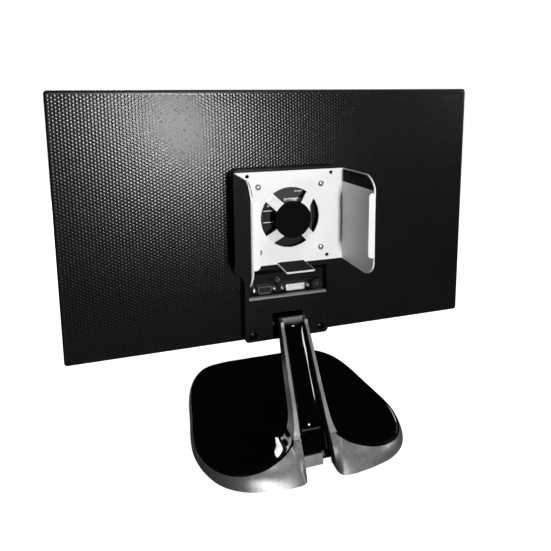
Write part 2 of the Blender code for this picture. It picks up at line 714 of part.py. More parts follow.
# ---------------------------------------------------------------- cradle
def cradle_wall(name, side):
    outline = rounded(((CRADLE_FACE - SHEET, CRADLE_BOTTOM, 0), (CRADLE_DEPTH, CRADLE_BOTTOM,
                       CRADLE_CORNER), (CRADLE_DEPTH, CRADLE_TOP, CRADLE_CORNER),
                       (CRADLE_FACE - SHEET, CRADLE_TOP, 0)), 6)
    low, high = sorted((side * CRADLE_HALF, side * (CRADLE_HALF - SHEET)))
    return prism(name, (outline,), "YZ", low, high, "cradle_white")


def cradle_flange(name, side):
    near = side * (CRADLE_HALF - SHEET / 2)
    far = side * (CRADLE_HALF - FLANGE_WIDTH)
    corners = [(near, FLANGE_BOTTOM, 0), (far, FLANGE_BOTTOM, FLANGE_CORNER),
               (far, FLANGE_TOP, FLANGE_CORNER), (near, FLANGE_TOP, 0)]
    return prism(name, (rounded(corners, 3),), "XZ", CRADLE_DEPTH - SHEET, CRADLE_DEPTH,
                 "cradle_white")


def spider_arm(name, angle):
    """A strip pressed out of the opening's edge and up to the raised disc."""
    outward = Vector((math.cos(angle), 0, math.sin(angle)))
    across = Vector((-math.sin(angle), 0, math.cos(angle))) * ARM_HALF_WIDTH
    level = CRADLE_FACE - SHEET / 2
    path = ((OPENING_RADIUS + 4, level), (OPENING_RADIUS - 1, level),
            (PAD_RADIUS - 1, level + SPIDER_RISE), (PAD_RADIUS - 7, level + SPIDER_RISE))
    rings = []
    for distance, y in path:
        middle = outward * distance + Vector((0, y, CRADLE_MIDDLE))
        half = Vector((0, SHEET / 2 - 0.06, 0))
        rings.append((middle - across - half, middle + across - half,
                      middle + across + half, middle - across + half))
    return add(name, loft_mesh(name, rings), "cradle_white")


def cradle():
    plate = prism("cradle", (rectangle(CRADLE_HALF, (CRADLE_TOP - CRADLE_BOTTOM) / 2, 0,
                                       (0, (CRADLE_TOP + CRADLE_BOTTOM) / 2)),
                             circle(0, CRADLE_MIDDLE + OPENING_RISE, OPENING_RADIUS, 40)), "XZ",
                  CRADLE_FACE - SHEET, CRADLE_FACE, "cradle_white")
    disc = cylinders("spider_disc", [(0, CRADLE_FACE - SHEET / 2 + SPIDER_RISE, CRADLE_MIDDLE)],
                     PAD_RADIUS - 1.0, SHEET, "Y", "cradle_white", 32)
    arms = [spider_arm("spider_arm_%d" % turn, math.radians(45 + 90 * turn)) for turn in range(4)]
    tab = block("cradle_tab", (-TAB_HALF_WIDTH, CRADLE_FACE - SHEET, CRADLE_BOTTOM),
                (TAB_HALF_WIDTH, CRADLE_FACE + TAB_LENGTH, CRADLE_BOTTOM + SHEET), "cradle_white")
    join(plate, cradle_wall("wall_left", 1), cradle_wall("wall_right", -1),
         cradle_flange("flange_left", 1), cradle_flange("flange_right", -1), tab, *arms, disc)
    fixing = cylinder_cutter("fixing_holes", mount_square(CRADLE_FACE), MOUNT_HOLE, 8, "Y", 16)
    spare = cylinder_cutter("spare_holes", [(x, CRADLE_FACE, z) for x, z in SPARE_HOLES],
                            SPARE_HOLE, 8, "Y", 16)
    return cut(plate, fixing, spare)


def cradle_liners():
    """Thin foam strips inside the walls, along their tops and round their front corners."""
    middle_y = CRADLE_DEPTH - CRADLE_CORNER
    middle_z = CRADLE_TOP - CRADLE_CORNER
    radius = CRADLE_CORNER - LINER_INSET
    first = math.asin((LINER_BOTTOM - middle_z) / radius)
    outline = [(LINER_START, LINER_BOTTOM)]
    for step in range(7):
        angle = first + (math.pi / 2 - first) * step / 6
        outline.append((middle_y + radius * math.cos(angle), middle_z + radius * math.sin(angle)))
    outline.append((LINER_START, CRADLE_TOP - LINER_INSET))
    outer = CRADLE_HALF - SHEET - GAP
    for index, side in enumerate((1, -1)):
        low, high = sorted((side * outer, side * (outer - LINER_THICKNESS)))
        prism("cradle_liner_%d" % (index + 1), (outline,), "YZ", low, high, "rubber")


def cradle_fixings():
    length = CRADLE_FACE - SHEET - HOUSING_BACK - 2 * GAP
    tube = turned_mesh("spacer", [(MOUNT_HOLE, length), (4.5, length), (4.5, 0), (MOUNT_HOLE, 0)],
                       18, True)
    copies("cradle_spacer", tube, mount_square(HOUSING_BACK + GAP), "Y", "steel")
    screw = turned_mesh("screw", [(0, 2.3), (2.0, 2.2), (3.4, 1.1), (3.6, 0), (1.8, 0),
                                  (1.8, -21), (0, -21)], 18)
    copies("cradle_screw", screw, mount_square(CRADLE_FACE + GAP), "Y", "steel")
    top = CRADLE_FACE + SPIDER_RISE + GAP
    pad = turned_mesh("pad", [(0, 3.4), (PAD_RADIUS - 0.8, 3.4), (PAD_RADIUS, 2.6),
                              (PAD_RADIUS, 0), (0, 0)], 36)
    copies("cradle_pad", pad, [(0, top, CRADLE_MIDDLE)], "Y", "rubber")


# ---------------------------------------------------------------- keys
def key(name, x, cap):
    """A cap with a retaining flange behind the bezel; its origin is on the joint's axis."""
    width, height = KEY_FLANGE
    flange = block_mesh(name + "_flange", (-width, BEZEL_BACK + GAP, -height),
                        (width, CAP_BACK + 0.5, height))
    moved = add(name, cap, "satin_black")
    join(moved, add(name + "_flange", flange, "satin_black"))
    for piece in (moved, bpy.data.objects[name + "_flange"]):
        piece.location = (x * MM, 0, KEY_Z * MM)
    return moved


def keys():
    for index, x in enumerate(OSD_KEYS):
        cap = prism_mesh("cap", (rectangle(*KEY_HALF, KEY_CORNER, segments=3),), "XZ", CAP_FRONT,
                         CAP_BACK)
        key("osd_key_%d" % (index + 1), x, cap)
    cap = cylinders_mesh("cap", [(0, (CAP_FRONT + CAP_BACK) / 2, 0)], POWER_RADIUS,
                         CAP_BACK - CAP_FRONT, "Y", 20)
    key("power_key", POWER_KEY, cap)
    cylinders("power_led_lens", [(LED_X, LENS_MIDDLE, KEY_Z)], LENS_RADIUS, LENS_LENGTH, "Y",
              "lens", 12)
    left, right, bottom, top = KEY_BOARD
    plate = block("key_board", (left, KEY_BOARD_FRONT, bottom), (right, KEY_BOARD_BACK, top),
                  "board_green")
    half = SWITCH_HALF
    switches = [block("switch_%d" % index, (x - half, SWITCH_FRONT, KEY_Z - half),
                      (x + half, KEY_BOARD_FRONT + 0.6, KEY_Z + half), "zinc")
                for index, x in enumerate(OSD_KEYS + (POWER_KEY,))]
    join(plate, *switches)


# ---------------------------------------------------------------- hinge
def hinge():
    bracket = block("hinge_bracket", (-BRACKET_HALF, BRACKET_FRONT, BRACKET_BOTTOM),
                    (BRACKET_HALF, BRACKET_BACK, BRACKET_TOP), "steel")
    for index, side in enumerate((1, -1)):
        low, high = sorted((side * EAR_INNER, side * EAR_OUTER))
        ear = rounded(((BRACKET_BACK - 0.7, HINGE_Z - EAR_HALF_HEIGHT, 0),
                       (HINGE_Y + EAR_REACH, HINGE_Z - EAR_HALF_HEIGHT, EAR_ROUND),
                       (HINGE_Y + EAR_REACH, HINGE_Z + EAR_HALF_HEIGHT, EAR_ROUND),
                       (BRACKET_BACK - 0.7, HINGE_Z + EAR_HALF_HEIGHT, 0)), 4)
        join(bracket, prism("ear_%d" % index, (ear,), "YZ", low, high, "steel"))
    cut(bracket, cylinder_cutter("ear_bore", [(0, HINGE_Y, HINGE_Z)], SHAFT_RADIUS + GAP, 60,
                                 "X", 24))
    cylinders("hinge_shaft", [(0, HINGE_Y, HINGE_Z)], SHAFT_RADIUS, 56, "X", "steel", 24)
    ring = turned_mesh("washer", [(3.3, 1.8), (6.4, 1.8), (6.4, 0), (3.3, 0)], 20, True)
    copies("hinge_washer", ring, [(18.0, HINGE_Y, HINGE_Z), (-19.8, HINGE_Y, HINGE_Z)], "X",
           "zinc")
    nut = turned_mesh("nut", [(3.9, 3.6), (6.2, 3.6), (6.2, 0), (3.9, 0)], 6, True)
    copies("hinge_nut", nut, [(23.2, HINGE_Y, HINGE_Z), (-26.8, HINGE_Y, HINGE_Z)], "X", "steel")


def neck_point(section, depth):
    """A point (Y, Z) of a neck section: depth 0 on its rear face, 1 on its front face."""
    (rear_y, rear_z), (front_y, front_z) = section[:2]
    return (rear_y + (front_y - rear_y) * depth, rear_z + (front_z - rear_z) * depth)


def neck_ring(section, half, near, far):
    near_y, near_z = neck_point(section, near)
    far_y, far_z = neck_point(section, far)
    return ((-half, near_y, near_z), (half, near_y, near_z), (half, far_y, far_z),
            (-half, far_y, far_z))


def neck():
    rings = [neck_ring(section, section[2], 0, 1) for section in NECK]
    shell = add("neck_shell", loft_mesh("neck_shell", rings), "silver_paint")
    hollow = [neck_ring(section, section[3], -0.3, 0.86) for section in NECK[:-1]]
    under = [(x, y + 12, z - 18) for x, y, z in hollow[0]]
    cut(shell, add_cutter("neck_hollow", loft_mesh("neck_hollow", [under] + hollow)),
        block_cutter("neck_window", (-12.5, 15, 108), (12.5, 37, 122.5)))
    strips = [neck_ring(section, section[3] - 0.4, 0.07, 0.2) for section in NECK[:-1]]
    low = [between(a, b, 0.5) for a, b in zip(strips[0], strips[1])]
    high = [between(a, b, 0.75) for a, b in zip(strips[-2], strips[-1])]
    add("neck_cover", loft_mesh("neck_cover", [low] + strips[1:-1] + [high]), "gloss_black")


def hinge_carrier():
    """The steel spine inside the neck, from the base plate up to the hinge barrel."""
    spine = [neck_ring(section, SPINE_HALF, 0.56, 0.74) for section in NECK[:-1]]
    foot = [(x, y + 13.0, z - 25.0) for x, y, z in spine[0]]
    carrier = add("hinge_carrier", loft_mesh("hinge_carrier", [foot] + spine), "steel")
    tongue = block("tongue", (-SPINE_HALF, HINGE_Y + 2, TONGUE_BOTTOM),
                   (SPINE_HALF, TONGUE_BACK, TONGUE_TOP), "steel")
    barrel = cylinders("barrel", [(0, HINGE_Y, HINGE_Z)], BARREL_RADIUS, 35, "X", "steel", 24)
    plate = block("foot_plate", (-15.5, 79.0, 4.0), (15.5, 96.5, 7.0), "steel")
    join(carrier, tongue, barrel, plate)
    cut(carrier, cylinder_cutter("barrel_bore", [(0, HINGE_Y, HINGE_Z)], SHAFT_RADIUS + GAP, 60,
                                 "X", 24))
    bolt = turned_mesh("bolt", [(0, 2.6), (3.4, 2.6), (3.4, 0), (0, 0)], 6)
    copies("stand_bolt", bolt, [(x, 84.0, 7.0 + GAP) for x in (-9, 9)], "Z", "zinc")


# ---------------------------------------------------------------- base
def smooth_row(points, steps):
    """A Catmull-Rom curve through the points, steps pieces to a span."""
    row = []
    for index in range(len(points) - 1):
        p0 = Vector(points[max(index - 1, 0)])
        p1, p2 = Vector(points[index]), Vector(points[index + 1])
        p3 = Vector(points[min(index + 2, len(points) - 1)])
        for step in range(steps):
            t = step / steps
            row.append(0.5 * ((2 * p1) + (p2 - p0) * t + (2 * p0 - 5 * p1 + 4 * p2 - p3) * t * t
                              + (3 * p1 - p0 - 3 * p2 + p3) * t * t * t))
    row.append(Vector(points[-1]))
    return row


def skirt_rows():
    """Rows of the shell, outline to rim, each as an open strip from wing to wing."""
    floor = smooth_row([(x, y, SKIRT_EDGE) for (x, y), _, _ in BASE], 2)
    rim = smooth_row([point for _, point, _ in BASE], 2)
    floor += [Vector((WING_INNER, 117.6, SKIRT_EDGE)), Vector((WING_INNER, 103.0, SKIRT_EDGE))]
    rim += [Vector((WING_INNER, 98.8, SEAM_Z)), Vector((WING_INNER, 84.5, SEAM_Z))]
    rows = []
    for amount in (0.0, 0.12, 0.45, 0.78, 1.0):
        row = []
        for index, (low, high) in enumerate(zip(floor, rim)):
            top = high.copy()
            top.z = high.z - (2.8 if index < len(rim) - 2 else 0.4)
            point = low.lerp(top, amount)
            swell = math.sin(math.pi * amount)
            point.z += swell * 0.12 * (top.z - low.z)
            row.append(point)
        left = [Vector((-p.x, p.y, p.z)) for p in reversed(row)]
        rows.append(left[:-1] + row)
    return rows


def base_shell():
    mesh = loft_mesh("base_shell", skirt_rows(), closed_ring=False, cap=False)
    front = min(mesh.polygons, key=lambda face: face.center.y)
    if front.normal.y > 0:
        mesh.flip_normals()
    shell = add("base_shell", smooth(mesh), "silver_paint")
    wall = shell.modifiers.new("wall", "SOLIDIFY")
    wall.thickness = 1.8 * MM
    wall.offset = -1
    return shell


def base_dish():
    """The glossy bowl: rim, a narrow lip, a round fall to the flat floor."""
    rim = smooth_row([point for _, point, _ in BASE] + [point for point, _ in NECK_BAY[:1]], 2)
    floor = smooth_row([(x, y, DISH_FLOOR) for _, _, (x, y) in BASE]
                       + [(x, y, DISH_FLOOR) for _, (x, y) in NECK_BAY[:1]], 2)
    rim.append(Vector(NECK_BAY[1][0]))
    floor.append(Vector((*NECK_BAY[1][1], DISH_FLOOR)))
    rows = []
    for step in range(-1, 5):
        row = []
        for edge, flat in zip(rim, floor):
            inward = Vector((flat.x - edge.x, flat.y - edge.y, 0))
            lip = edge + inward.normalized() * 3.2
            if step < 0:
                row.append(edge)
                continue
            turn = math.radians(90) * step / 4
            row.append(Vector((lip.x + (flat.x - lip.x) * (1 - math.cos(turn)),
                               lip.y + (flat.y - lip.y) * (1 - math.cos(turn)),
                               flat.z + (lip.z - flat.z) * (1 - math.sin(turn)))))
        left = [Vector((-p.x, p.y, p.z)) for p in reversed(row[1:-1])]
        rows.append(row + left)
    built = bmesh.new()
    mesh = loft_mesh("base_dish", rows, cap=False)
    built.from_mesh(mesh)
    inner = [edge for edge in built.edges
             if edge.is_boundary and all(abs(v.co.z - DISH_FLOOR * MM) < 1e-6 for v in edge.verts)]
    bmesh.ops.contextual_create(built, geom=inner)
    bmesh.ops.recalc_face_normals(built, faces=built.faces)
    built.to_mesh(mesh)
    built.free()
    floor_face = max(mesh.polygons, key=lambda face: face.area)
    if floor_face.normal.z < 0:
        mesh.flip_normals()
    dish = add("base_dish", smooth(mesh), "gloss_black")
    wall = dish.modifiers.new("wall", "SOLIDIFY")
    wall.thickness = DISH_WALL * MM
    wall.offset = -1
    return dish


def base_inside():
    half = smooth_row([(x * 0.93, y * 0.93, 0) for (x, y), _, _ in BASE[:14]], 1)
    half.append(Vector((19.5, 116.0, 0)))
    half.append(Vector((19.5, 97.0, 0)))
    other = [Vector((-p.x, p.y, 0)) for p in reversed(half[1:])]
    outline = [(p.x, p.y) for p in half + other]
    prism("base_plate", (outline,), "XY", 1.6, 3.7, "zinc")
    foot = turned_mesh("foot", [(0, 0), (7.0, 0), (7.0, -1.0), (6.6, -1.3), (0, -1.3)], 20)
    copies("base_foot", foot, [(84, -78, 1.3), (-84, -78, 1.3), (94, 66, 1.3), (-94, 66, 1.3)],
           "Z", "rubber")
    slope = ((102.0, 1.4), (104.4, 1.4), (101.2, 12.0), (98.8, 12.0))
    prism("base_rear_block", (slope,), "YZ", -7.0, 14.2, "silver_paint")
    bottom, top = (103.4, 5.4), (89.8, SEAM_Z - 0.6)
    wall = ((bottom[0] - 6.6, 12.6), (bottom[0] - 4.6, 12.6), (top[0], top[1]), (top[0] - 2, top[1]))
    prism("root_cover", (wall,), "YZ", -14.4, 14.4, "satin_black")


# ---------------------------------------------------------------- assembly
def build():
    front_bezel()
    panel_stack()
    rear_cover()
    centre_housing()
    hinge_cover()
    housing_small_parts()
    boards()
    connectors()
    cradle()
    cradle_liners()
    cradle_fixings()
    keys()
    hinge()
    neck()
    hinge_carrier()
    base_shell()
    base_dish()
    base_inside()
    for thing in list(PARTS.objects) + list(CUTTERS.objects):
        thing.location.y += ORIGIN_SHIFT * MM


build()
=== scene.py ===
"""Looks of a flat display on a tilting stand, with an empty mini PC cradle on its back.

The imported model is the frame.  Lengths in the helpers are millimetres in the drawing's own axes,
which the frame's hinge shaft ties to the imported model: X to the left as seen from behind, Y to
the rear, Z up.
"""
import math
import bmesh
import bpy
from mathutils import Matrix, Vector


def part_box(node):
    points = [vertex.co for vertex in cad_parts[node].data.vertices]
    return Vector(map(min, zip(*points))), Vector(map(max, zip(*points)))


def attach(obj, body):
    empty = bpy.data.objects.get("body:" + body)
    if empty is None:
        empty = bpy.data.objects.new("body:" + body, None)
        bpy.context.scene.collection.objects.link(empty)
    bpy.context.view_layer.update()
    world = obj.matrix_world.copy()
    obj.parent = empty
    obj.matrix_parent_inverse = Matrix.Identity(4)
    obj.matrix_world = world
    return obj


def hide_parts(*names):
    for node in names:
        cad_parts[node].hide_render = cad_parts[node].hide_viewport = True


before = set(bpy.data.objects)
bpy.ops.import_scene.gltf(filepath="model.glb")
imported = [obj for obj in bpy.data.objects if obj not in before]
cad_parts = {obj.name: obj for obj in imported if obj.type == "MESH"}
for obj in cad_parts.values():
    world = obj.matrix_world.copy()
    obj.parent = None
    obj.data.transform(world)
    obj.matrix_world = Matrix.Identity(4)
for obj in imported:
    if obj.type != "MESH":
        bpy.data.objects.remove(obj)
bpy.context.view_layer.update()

MM = 0.001
GAP = 0.3
HINGE_Y = 2.0


def edges_of(node):
    """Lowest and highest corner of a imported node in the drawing's millimetres."""
    low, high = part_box(node)
    return low / MM - SHIFT, high / MM - SHIFT


def middle_of(node):
    low, high = edges_of(node)
    return (low + high) / 2


shaft_low, shaft_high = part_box("hinge_shaft")
SHIFT = Vector((0, (shaft_low.y + shaft_high.y) / 2 / MM - HINGE_Y, 0))

# ---- sizes read from the frame
BEZEL_LOW, BEZEL_HIGH = edges_of("front_bezel")
HALF_WIDTH = BEZEL_HIGH.x
BOTTOM, TOP = BEZEL_LOW.z, BEZEL_HIGH.z
MIDDLE_Z = (BOTTOM + TOP) / 2
HALF_HEIGHT = (TOP - BOTTOM) / 2
HOUSING_LOW, HOUSING_HIGH = edges_of("centre_housing")
HOUSING_BACK = HOUSING_HIGH.y
CRADLE_LOW, CRADLE_HIGH = edges_of("cradle")
PLATE_BACK = edges_of("cradle_spacer_1")[1].y + GAP
SHEET = 1.6
PLATE_FACE = PLATE_BACK + SHEET
SCREWS = [middle_of("cradle_screw_%d" % number) for number in (1, 2, 3, 4)]
CRADLE_MIDDLE = sum(point.z for point in SCREWS) / len(SCREWS)
VGA, DVI = middle_of("vga_connector"), middle_of("dvi_connector")
AUDIO, POWER = middle_of("audio_jack"), middle_of("dc_jack")

# ---- sizes of the drawing
DISPLAY_CORNER = 4.0
REAR_EDGE = -8.0
REAR_CROWN = 4.0
EDGE_ROUND = 3.0
BORDER = 4.0
COVER_WALL = 2.2
DIMPLE_COLUMN = 3.52        # across from one column of dimples to the next
DIMPLE_ROW = 1.945          # half the height from one dimple to the next in its column
DIMPLE_RADIUS = 1.45
DIMPLE_DEPTH = 0.75
SEAM_Z = 31.3
DISH_FLOOR = 6.0
WING_INNER = 16.6

# neck sections from the bottom up: rear (Y, Z), front (Y, Z), half widths outside and inside
NECK = (
    ((98.8, SEAM_Z), (76.6, SEAM_Z), 24.5, 16.6),
    ((92.3, 41.0), (72.2, 36.8), 21.4, 16.0),
    ((82.0, 57.2), (64.8, 47.2), 19.4, 15.3),
    ((68.4, 77.0), (53.4, 66.4), 18.6, 14.7),
    ((53.0, 101.6), (39.2, 91.8), 17.6, 14.0),
    ((44.5, 114.7), (31.5, 105.5), 17.0, 13.4),
    ((37.5, 125.0), (26.5, 119.0), 16.5, 13.0),
    ((34.8, 130.8), (25.0, 132.3), 16.3, 12.8),
)

# half of the base, front middle round to the notch: floor outline (X, Y), rim (X, Y, Z) and
# the edge of the dish's flat floor (X, Y)
BASE = (
    ((0.0, -118.6), (0.0, -115.6, 8.0), (0.0, -101.0)),
    ((30.0, -118.6), (29.5, -115.6, 8.0), (27.0, -101.0)),
    ((58.0, -118.0), (57.0, -115.0, 8.0), (50.0, -100.0)),
    ((85.0, -111.0), (83.3, -108.4, 8.0), (72.0, -93.5)),
    ((102.5, -92.0), (99.9, -90.4, 8.0), (87.0, -78.0)),
    ((111.5, -69.0), (108.7, -68.0, 8.0), (95.0, -58.0)),
    ((116.5, -41.0), (113.5, -40.6, 8.0), (99.5, -34.0)),
    ((119.8, -6.0), (116.8, -5.8, 8.0), (102.0, -4.0)),
    ((123.4, 30.0), (120.4, 30.0, 8.0), (104.0, 26.0)),
    ((122.6, 56.0), (119.7, 55.3, 8.2), (101.0, 47.0)),
    ((115.0, 82.0), (112.3, 79.8, 9.2), (92.0, 65.0)),
    ((101.5, 103.0), (98.6, 98.9, 10.9), (82.0, 77.0)),
    ((82.0, 116.2), (80.8, 109.8, 13.2), (70.0, 83.0)),
    ((60.0, 122.2), (62.0, 112.0, 15.5), (59.0, 82.0)),
    ((40.0, 125.0), (47.0, 109.0, 18.4), (50.0, 76.0)),
    ((28.5, 125.5), (35.8, 105.4, 22.0), (44.5, 69.0)),
    ((21.0, 124.0), (28.2, 101.4, 26.4), (41.0, 62.0)),
    ((17.8, 121.0), (24.5, 97.6, 31.0), (38.0, 56.0)),
)
NECK_BAY = (
    ((24.5, 76.6, 31.0), (32.0, 51.0)),
    ((0.0, 76.6, 31.0), (0.0, 48.0)),
)


# ---- materials
MATERIALS = {}


class Nodes:
    """A material's node tree, with short ways to add what the finishes share."""

    def __init__(self, name):
        self.material = bpy.data.materials.new(name)
        self.material.use_nodes = True
        self.tree = self.material.node_tree
        self.shader = self.tree.nodes["Principled BSDF"]
        self.place = self.add("ShaderNodeTexCoord").outputs["Object"]
        MATERIALS[name] = self.material

    def feed(self, node, inputs):
        """Each input takes a value, or a link from another node."""
        for key, value in inputs.items():
            target = node.inputs[key.replace("_", " ")]
            if isinstance(value, bpy.types.NodeSocket):
                self.tree.links.new(value, target)
            else:
                target.default_value = value

    def set(self, **inputs):
        self.feed(self.shader, inputs)

    def add(self, kind, **inputs):
        node = self.tree.nodes.new(kind)
        self.feed(node, inputs)
        return node

    def stretched(self, scale):
        return self.add("ShaderNodeMapping", Scale=scale, Vector=self.place).outputs["Vector"]

    def noise(self, scale, detail, place=None):
        return self.add("ShaderNodeTexNoise", Scale=scale, Detail=detail,
                        Vector=place or self.place).outputs["Fac"]

    def cells(self, scale):
        return self.add("ShaderNodeTexVoronoi", Scale=scale,
                        Vector=self.place).outputs["Distance"]

    def ramp(self, source, low, high, first, second):
        node = self.add("ShaderNodeValToRGB", Fac=source)
        for stop, place, colour in zip(node.color_ramp.elements, (low, high), (first, second)):
            stop.position, stop.color = place, (*colour, 1)
        return node.outputs["Color"]

    def mix(self, amount, source, colour):
        """A linked colour faded towards a plain one."""
        node = self.add("ShaderNodeMix", Factor=amount)
        node.data_type = "RGBA"
        first, second = [found for found in node.inputs if found.type == "RGBA"]
        self.tree.links.new(source, first)
        second.default_value = (*colour, 1)
        return [found for found in node.outputs if found.type == "RGBA"][0]

    def range(self, source, low, high):
        return self.add("ShaderNodeMapRange", From_Min=0.3, From_Max=0.7, To_Min=low, To_Max=high,
                        Value=source).outputs["Result"]

    def shade(self, source, low, high, colour, dark, bright):
        """The base colour drifting between two strengths of one colour."""
        self.set(Base_Color=self.ramp(source, low, high, tint(colour, dark),
                                      tint(colour, bright)))

    def roughness(self, source, low, high):
        self.set(Roughness=self.range(source, low, high))

    def bump(self, source, depth, strength=1.0):
        node = self.add("ShaderNodeBump", Strength=strength, Distance=depth * MM, Height=source)
        self.set(Normal=node.outputs["Normal"])


def tint(colour, factor):
    return tuple(min(part * factor, 1.0) for part in colour)


def moulded(name, colour, rough, grain, depth, shine=0.34):
    """Moulded plastic: a fine spark-eroded grain, with slow drifts in shade and gloss."""
    nodes = Nodes(name)
    drift = nodes.noise(9, 4)
    nodes.shade(drift, 0.35, 0.65, colour, 0.92, 1.08)
    nodes.roughness(nodes.noise(400, 4), rough - 0.03, rough + 0.03)
    nodes.bump(nodes.noise(grain, 2), depth)
    nodes.set(Specular_IOR_Level=shine)


def lacquer(name, colour, rough):
    """Glossy moulding with faint hairlines and a little unevenness."""
    nodes = Nodes(name)
    nodes.shade(nodes.noise(25, 3), 0.4, 0.6, colour, 0.7, 1.3)
    hairs = nodes.noise(90, 6, nodes.stretched((1.0, 0.12, 1.0)))
    nodes.roughness(hairs, rough, rough + 0.05)
    nodes.bump(nodes.noise(30, 1), 0.02, 0.3)


def powder_coat(name, colour):
    nodes = Nodes(name)
    nodes.shade(nodes.noise(22, 4), 0.35, 0.65, colour, 0.96, 1.03)
    nodes.roughness(nodes.noise(120, 3), 0.34, 0.46)
    nodes.bump(nodes.noise(1500, 1), 0.02, 0.5)


def flake_paint(name, colour):
    """Silver lacquer: fine bright flakes, a little cloudy, under a thin clear coat."""
    nodes = Nodes(name)
    flakes = nodes.ramp(nodes.cells(4200), 0.1, 0.8, tint(colour, 1.3), tint(colour, 0.8))
    clouds = nodes.range(nodes.noise(260, 5), 0.0, 0.5)
    nodes.set(Base_Color=nodes.mix(clouds, flakes, tint(colour, 0.45)))
    nodes.roughness(nodes.noise(1800, 1), 0.36, 0.46)
    nodes.bump(nodes.noise(2600, 1), 0.012, 0.5)
    nodes.set(Metallic=0.75, Coat_Weight=0.1, Coat_Roughness=0.35)


def bare_metal(name, colour, rough, streak):
    """Machined or rolled metal with fine marks along one direction."""
    nodes = Nodes(name)
    marks = nodes.noise(700, 4, nodes.stretched(streak))
    nodes.shade(marks, 0.3, 0.7, colour, 0.85, 1.15)
    nodes.roughness(marks, rough - 0.06, rough + 0.08)
    nodes.bump(marks, 0.01, 0.6)
    nodes.set(Metallic=1.0)


def foam(name, colour, scale):
    nodes = Nodes(name)
    pores_and_painted_pit_shade = nodes.cells(scale)
    # the pits of the pores, where the bump sinks, are painted darker: painted shade
    nodes.shade(pores_and_painted_pit_shade, 0.0, 0.5, colour, 0.5, 1.3)
    nodes.roughness(pores_and_painted_pit_shade, 0.85, 0.95)
    nodes.bump(pores_and_painted_pit_shade, 0.15, 0.8)
    nodes.set(Specular_IOR_Level=0.12)


def screen_glass(name):
    nodes = Nodes(name)
    sparkle = nodes.noise(5000, 0)
    nodes.set(Base_Color=nodes.ramp(sparkle, 0.3, 0.7, (0.004, 0.004, 0.005),
                                    (0.010, 0.010, 0.012)))
    nodes.roughness(sparkle, 0.16, 0.3)
    nodes.bump(sparkle, 0.006, 0.5)


def circuit_board(name):
    nodes = Nodes(name)
    tracks = nodes.add("ShaderNodeTexBrick", Scale=160, Vector=nodes.place,
                       Color1=(0.012, 0.10, 0.045, 1), Color2=(0.018, 0.15, 0.06, 1),
                       Mortar=(0.03, 0.22, 0.09, 1))
    nodes.set(Base_Color=tracks.outputs["Color"])
    nodes.roughness(nodes.noise(300, 2), 0.3, 0.45)
    nodes.bump(tracks.outputs["Fac"], 0.03, 0.5)


def clear_sheet(name, colour):
    nodes = Nodes(name)
    dots = nodes.cells(700)
    nodes.shade(dots, 0.2, 0.6, colour, 1.1, 0.85)
    nodes.roughness(dots, 0.05, 0.2)
    nodes.bump(dots, 0.02, 0.4)


def paper(name, colour):
    nodes = Nodes(name)
    fibres = nodes.noise(900, 5)
    nodes.shade(fibres, 0.35, 0.65, colour, 0.93, 1.04)
    nodes.roughness(fibres, 0.4, 0.55)
    nodes.bump(fibres, 0.01, 0.4)
    nodes.set(Specular_IOR_Level=0.2)


def make_materials():
    moulded("textured_black", (0.006, 0.006, 0.0065), 0.25, 1600, 0.02)
    moulded("satin_black", (0.003, 0.003, 0.0034), 0.38, 1300, 0.02, 0.22)
    moulded("bezel_black", (0.006, 0.006, 0.0065), 0.34, 1500, 0.015)
    moulded("deep_black", (0.003, 0.003, 0.003), 0.5, 1300, 0.02)
    moulded("port_dark", (0.008, 0.008, 0.009), 0.4, 900, 0.02)
    moulded("port_white", (0.80, 0.80, 0.79), 0.38, 900, 0.01)
    lacquer("piano_black", (0.0008, 0.0008, 0.001), 0.03)
    powder_coat("cradle_white", (0.86, 0.86, 0.86))
    flake_paint("silver_paint", (0.235, 0.235, 0.24))
    # light grey for the port sill: a painted highlight for the lit front edge of the black recess
    # floor
    moulded("sill_painted_highlight_grey", (0.20, 0.20, 0.20), 0.4, 1300, 0.02)
    bare_metal("bright_steel", (0.66, 0.66, 0.67), 0.24, (1.0, 0.1, 1.0))
    bare_metal("zinc_plate", (0.50, 0.50, 0.52), 0.36, (0.3, 1.0, 1.0))
    bare_metal("dark_steel", (0.035, 0.035, 0.037), 0.34, (1.0, 0.2, 1.0))
    foam("rubber", (0.0012, 0.0012, 0.0012), 2200)
    foam("foam_black", (0.005, 0.005, 0.005), 1500)
    # dark grey for the layer on the cradle tab: painted shade
    foam("tab_painted_shade_grey", (0.009, 0.009, 0.0095), 1500)
    screen_glass("screen")
    circuit_board("board_green")
    clear_sheet("acrylic", (0.62, 0.65, 0.68))
    clear_sheet("lens", (0.75, 0.8, 0.85))
    paper("label_white", (0.80, 0.80, 0.80))
    paper("label_grey", (0.045, 0.045, 0.045))
    paper("label_dark", (0.005, 0.005, 0.005))


# ---- mesh helpers
def to_mesh(name, built):
    bmesh.ops.recalc_face_normals(built, faces=built.faces)
    bmesh.ops.translate(built, verts=built.verts, vec=SHIFT * MM)
    mesh = bpy.data.meshes.new(name)
    built.to_mesh(mesh)
    built.free()
    return mesh


def block(low, high, round_by=0.0):
    built = bmesh.new()
    low, high = Vector(low) * MM, Vector(high) * MM
    place = Matrix.Translation((low + high) / 2) @ Matrix.Diagonal((*(high - low), 1.0))
    bmesh.ops.create_cube(built, size=1.0, matrix=place)
    if round_by:
        bmesh.ops.bevel(built, geom=built.edges, offset=round_by * MM, segments=2,
                        profile=0.5, affect="EDGES")
    return to_mesh("block", built)


AXIS_TURN = {"Y": Matrix.Rotation(math.radians(-90), 4, "X"), "Z": Matrix.Identity(4)}


def cylinder(centre, radius, length, sides=48):
    """A cylinder along Y."""
    built = bmesh.new()
    place = Matrix.Translation(Vector(centre) * MM) @ AXIS_TURN["Y"]
    bmesh.ops.create_cone(built, cap_ends=True, segments=sides, radius1=radius * MM,
                          radius2=radius * MM, depth=length * MM, matrix=place)
    return to_mesh("cylinder", built)


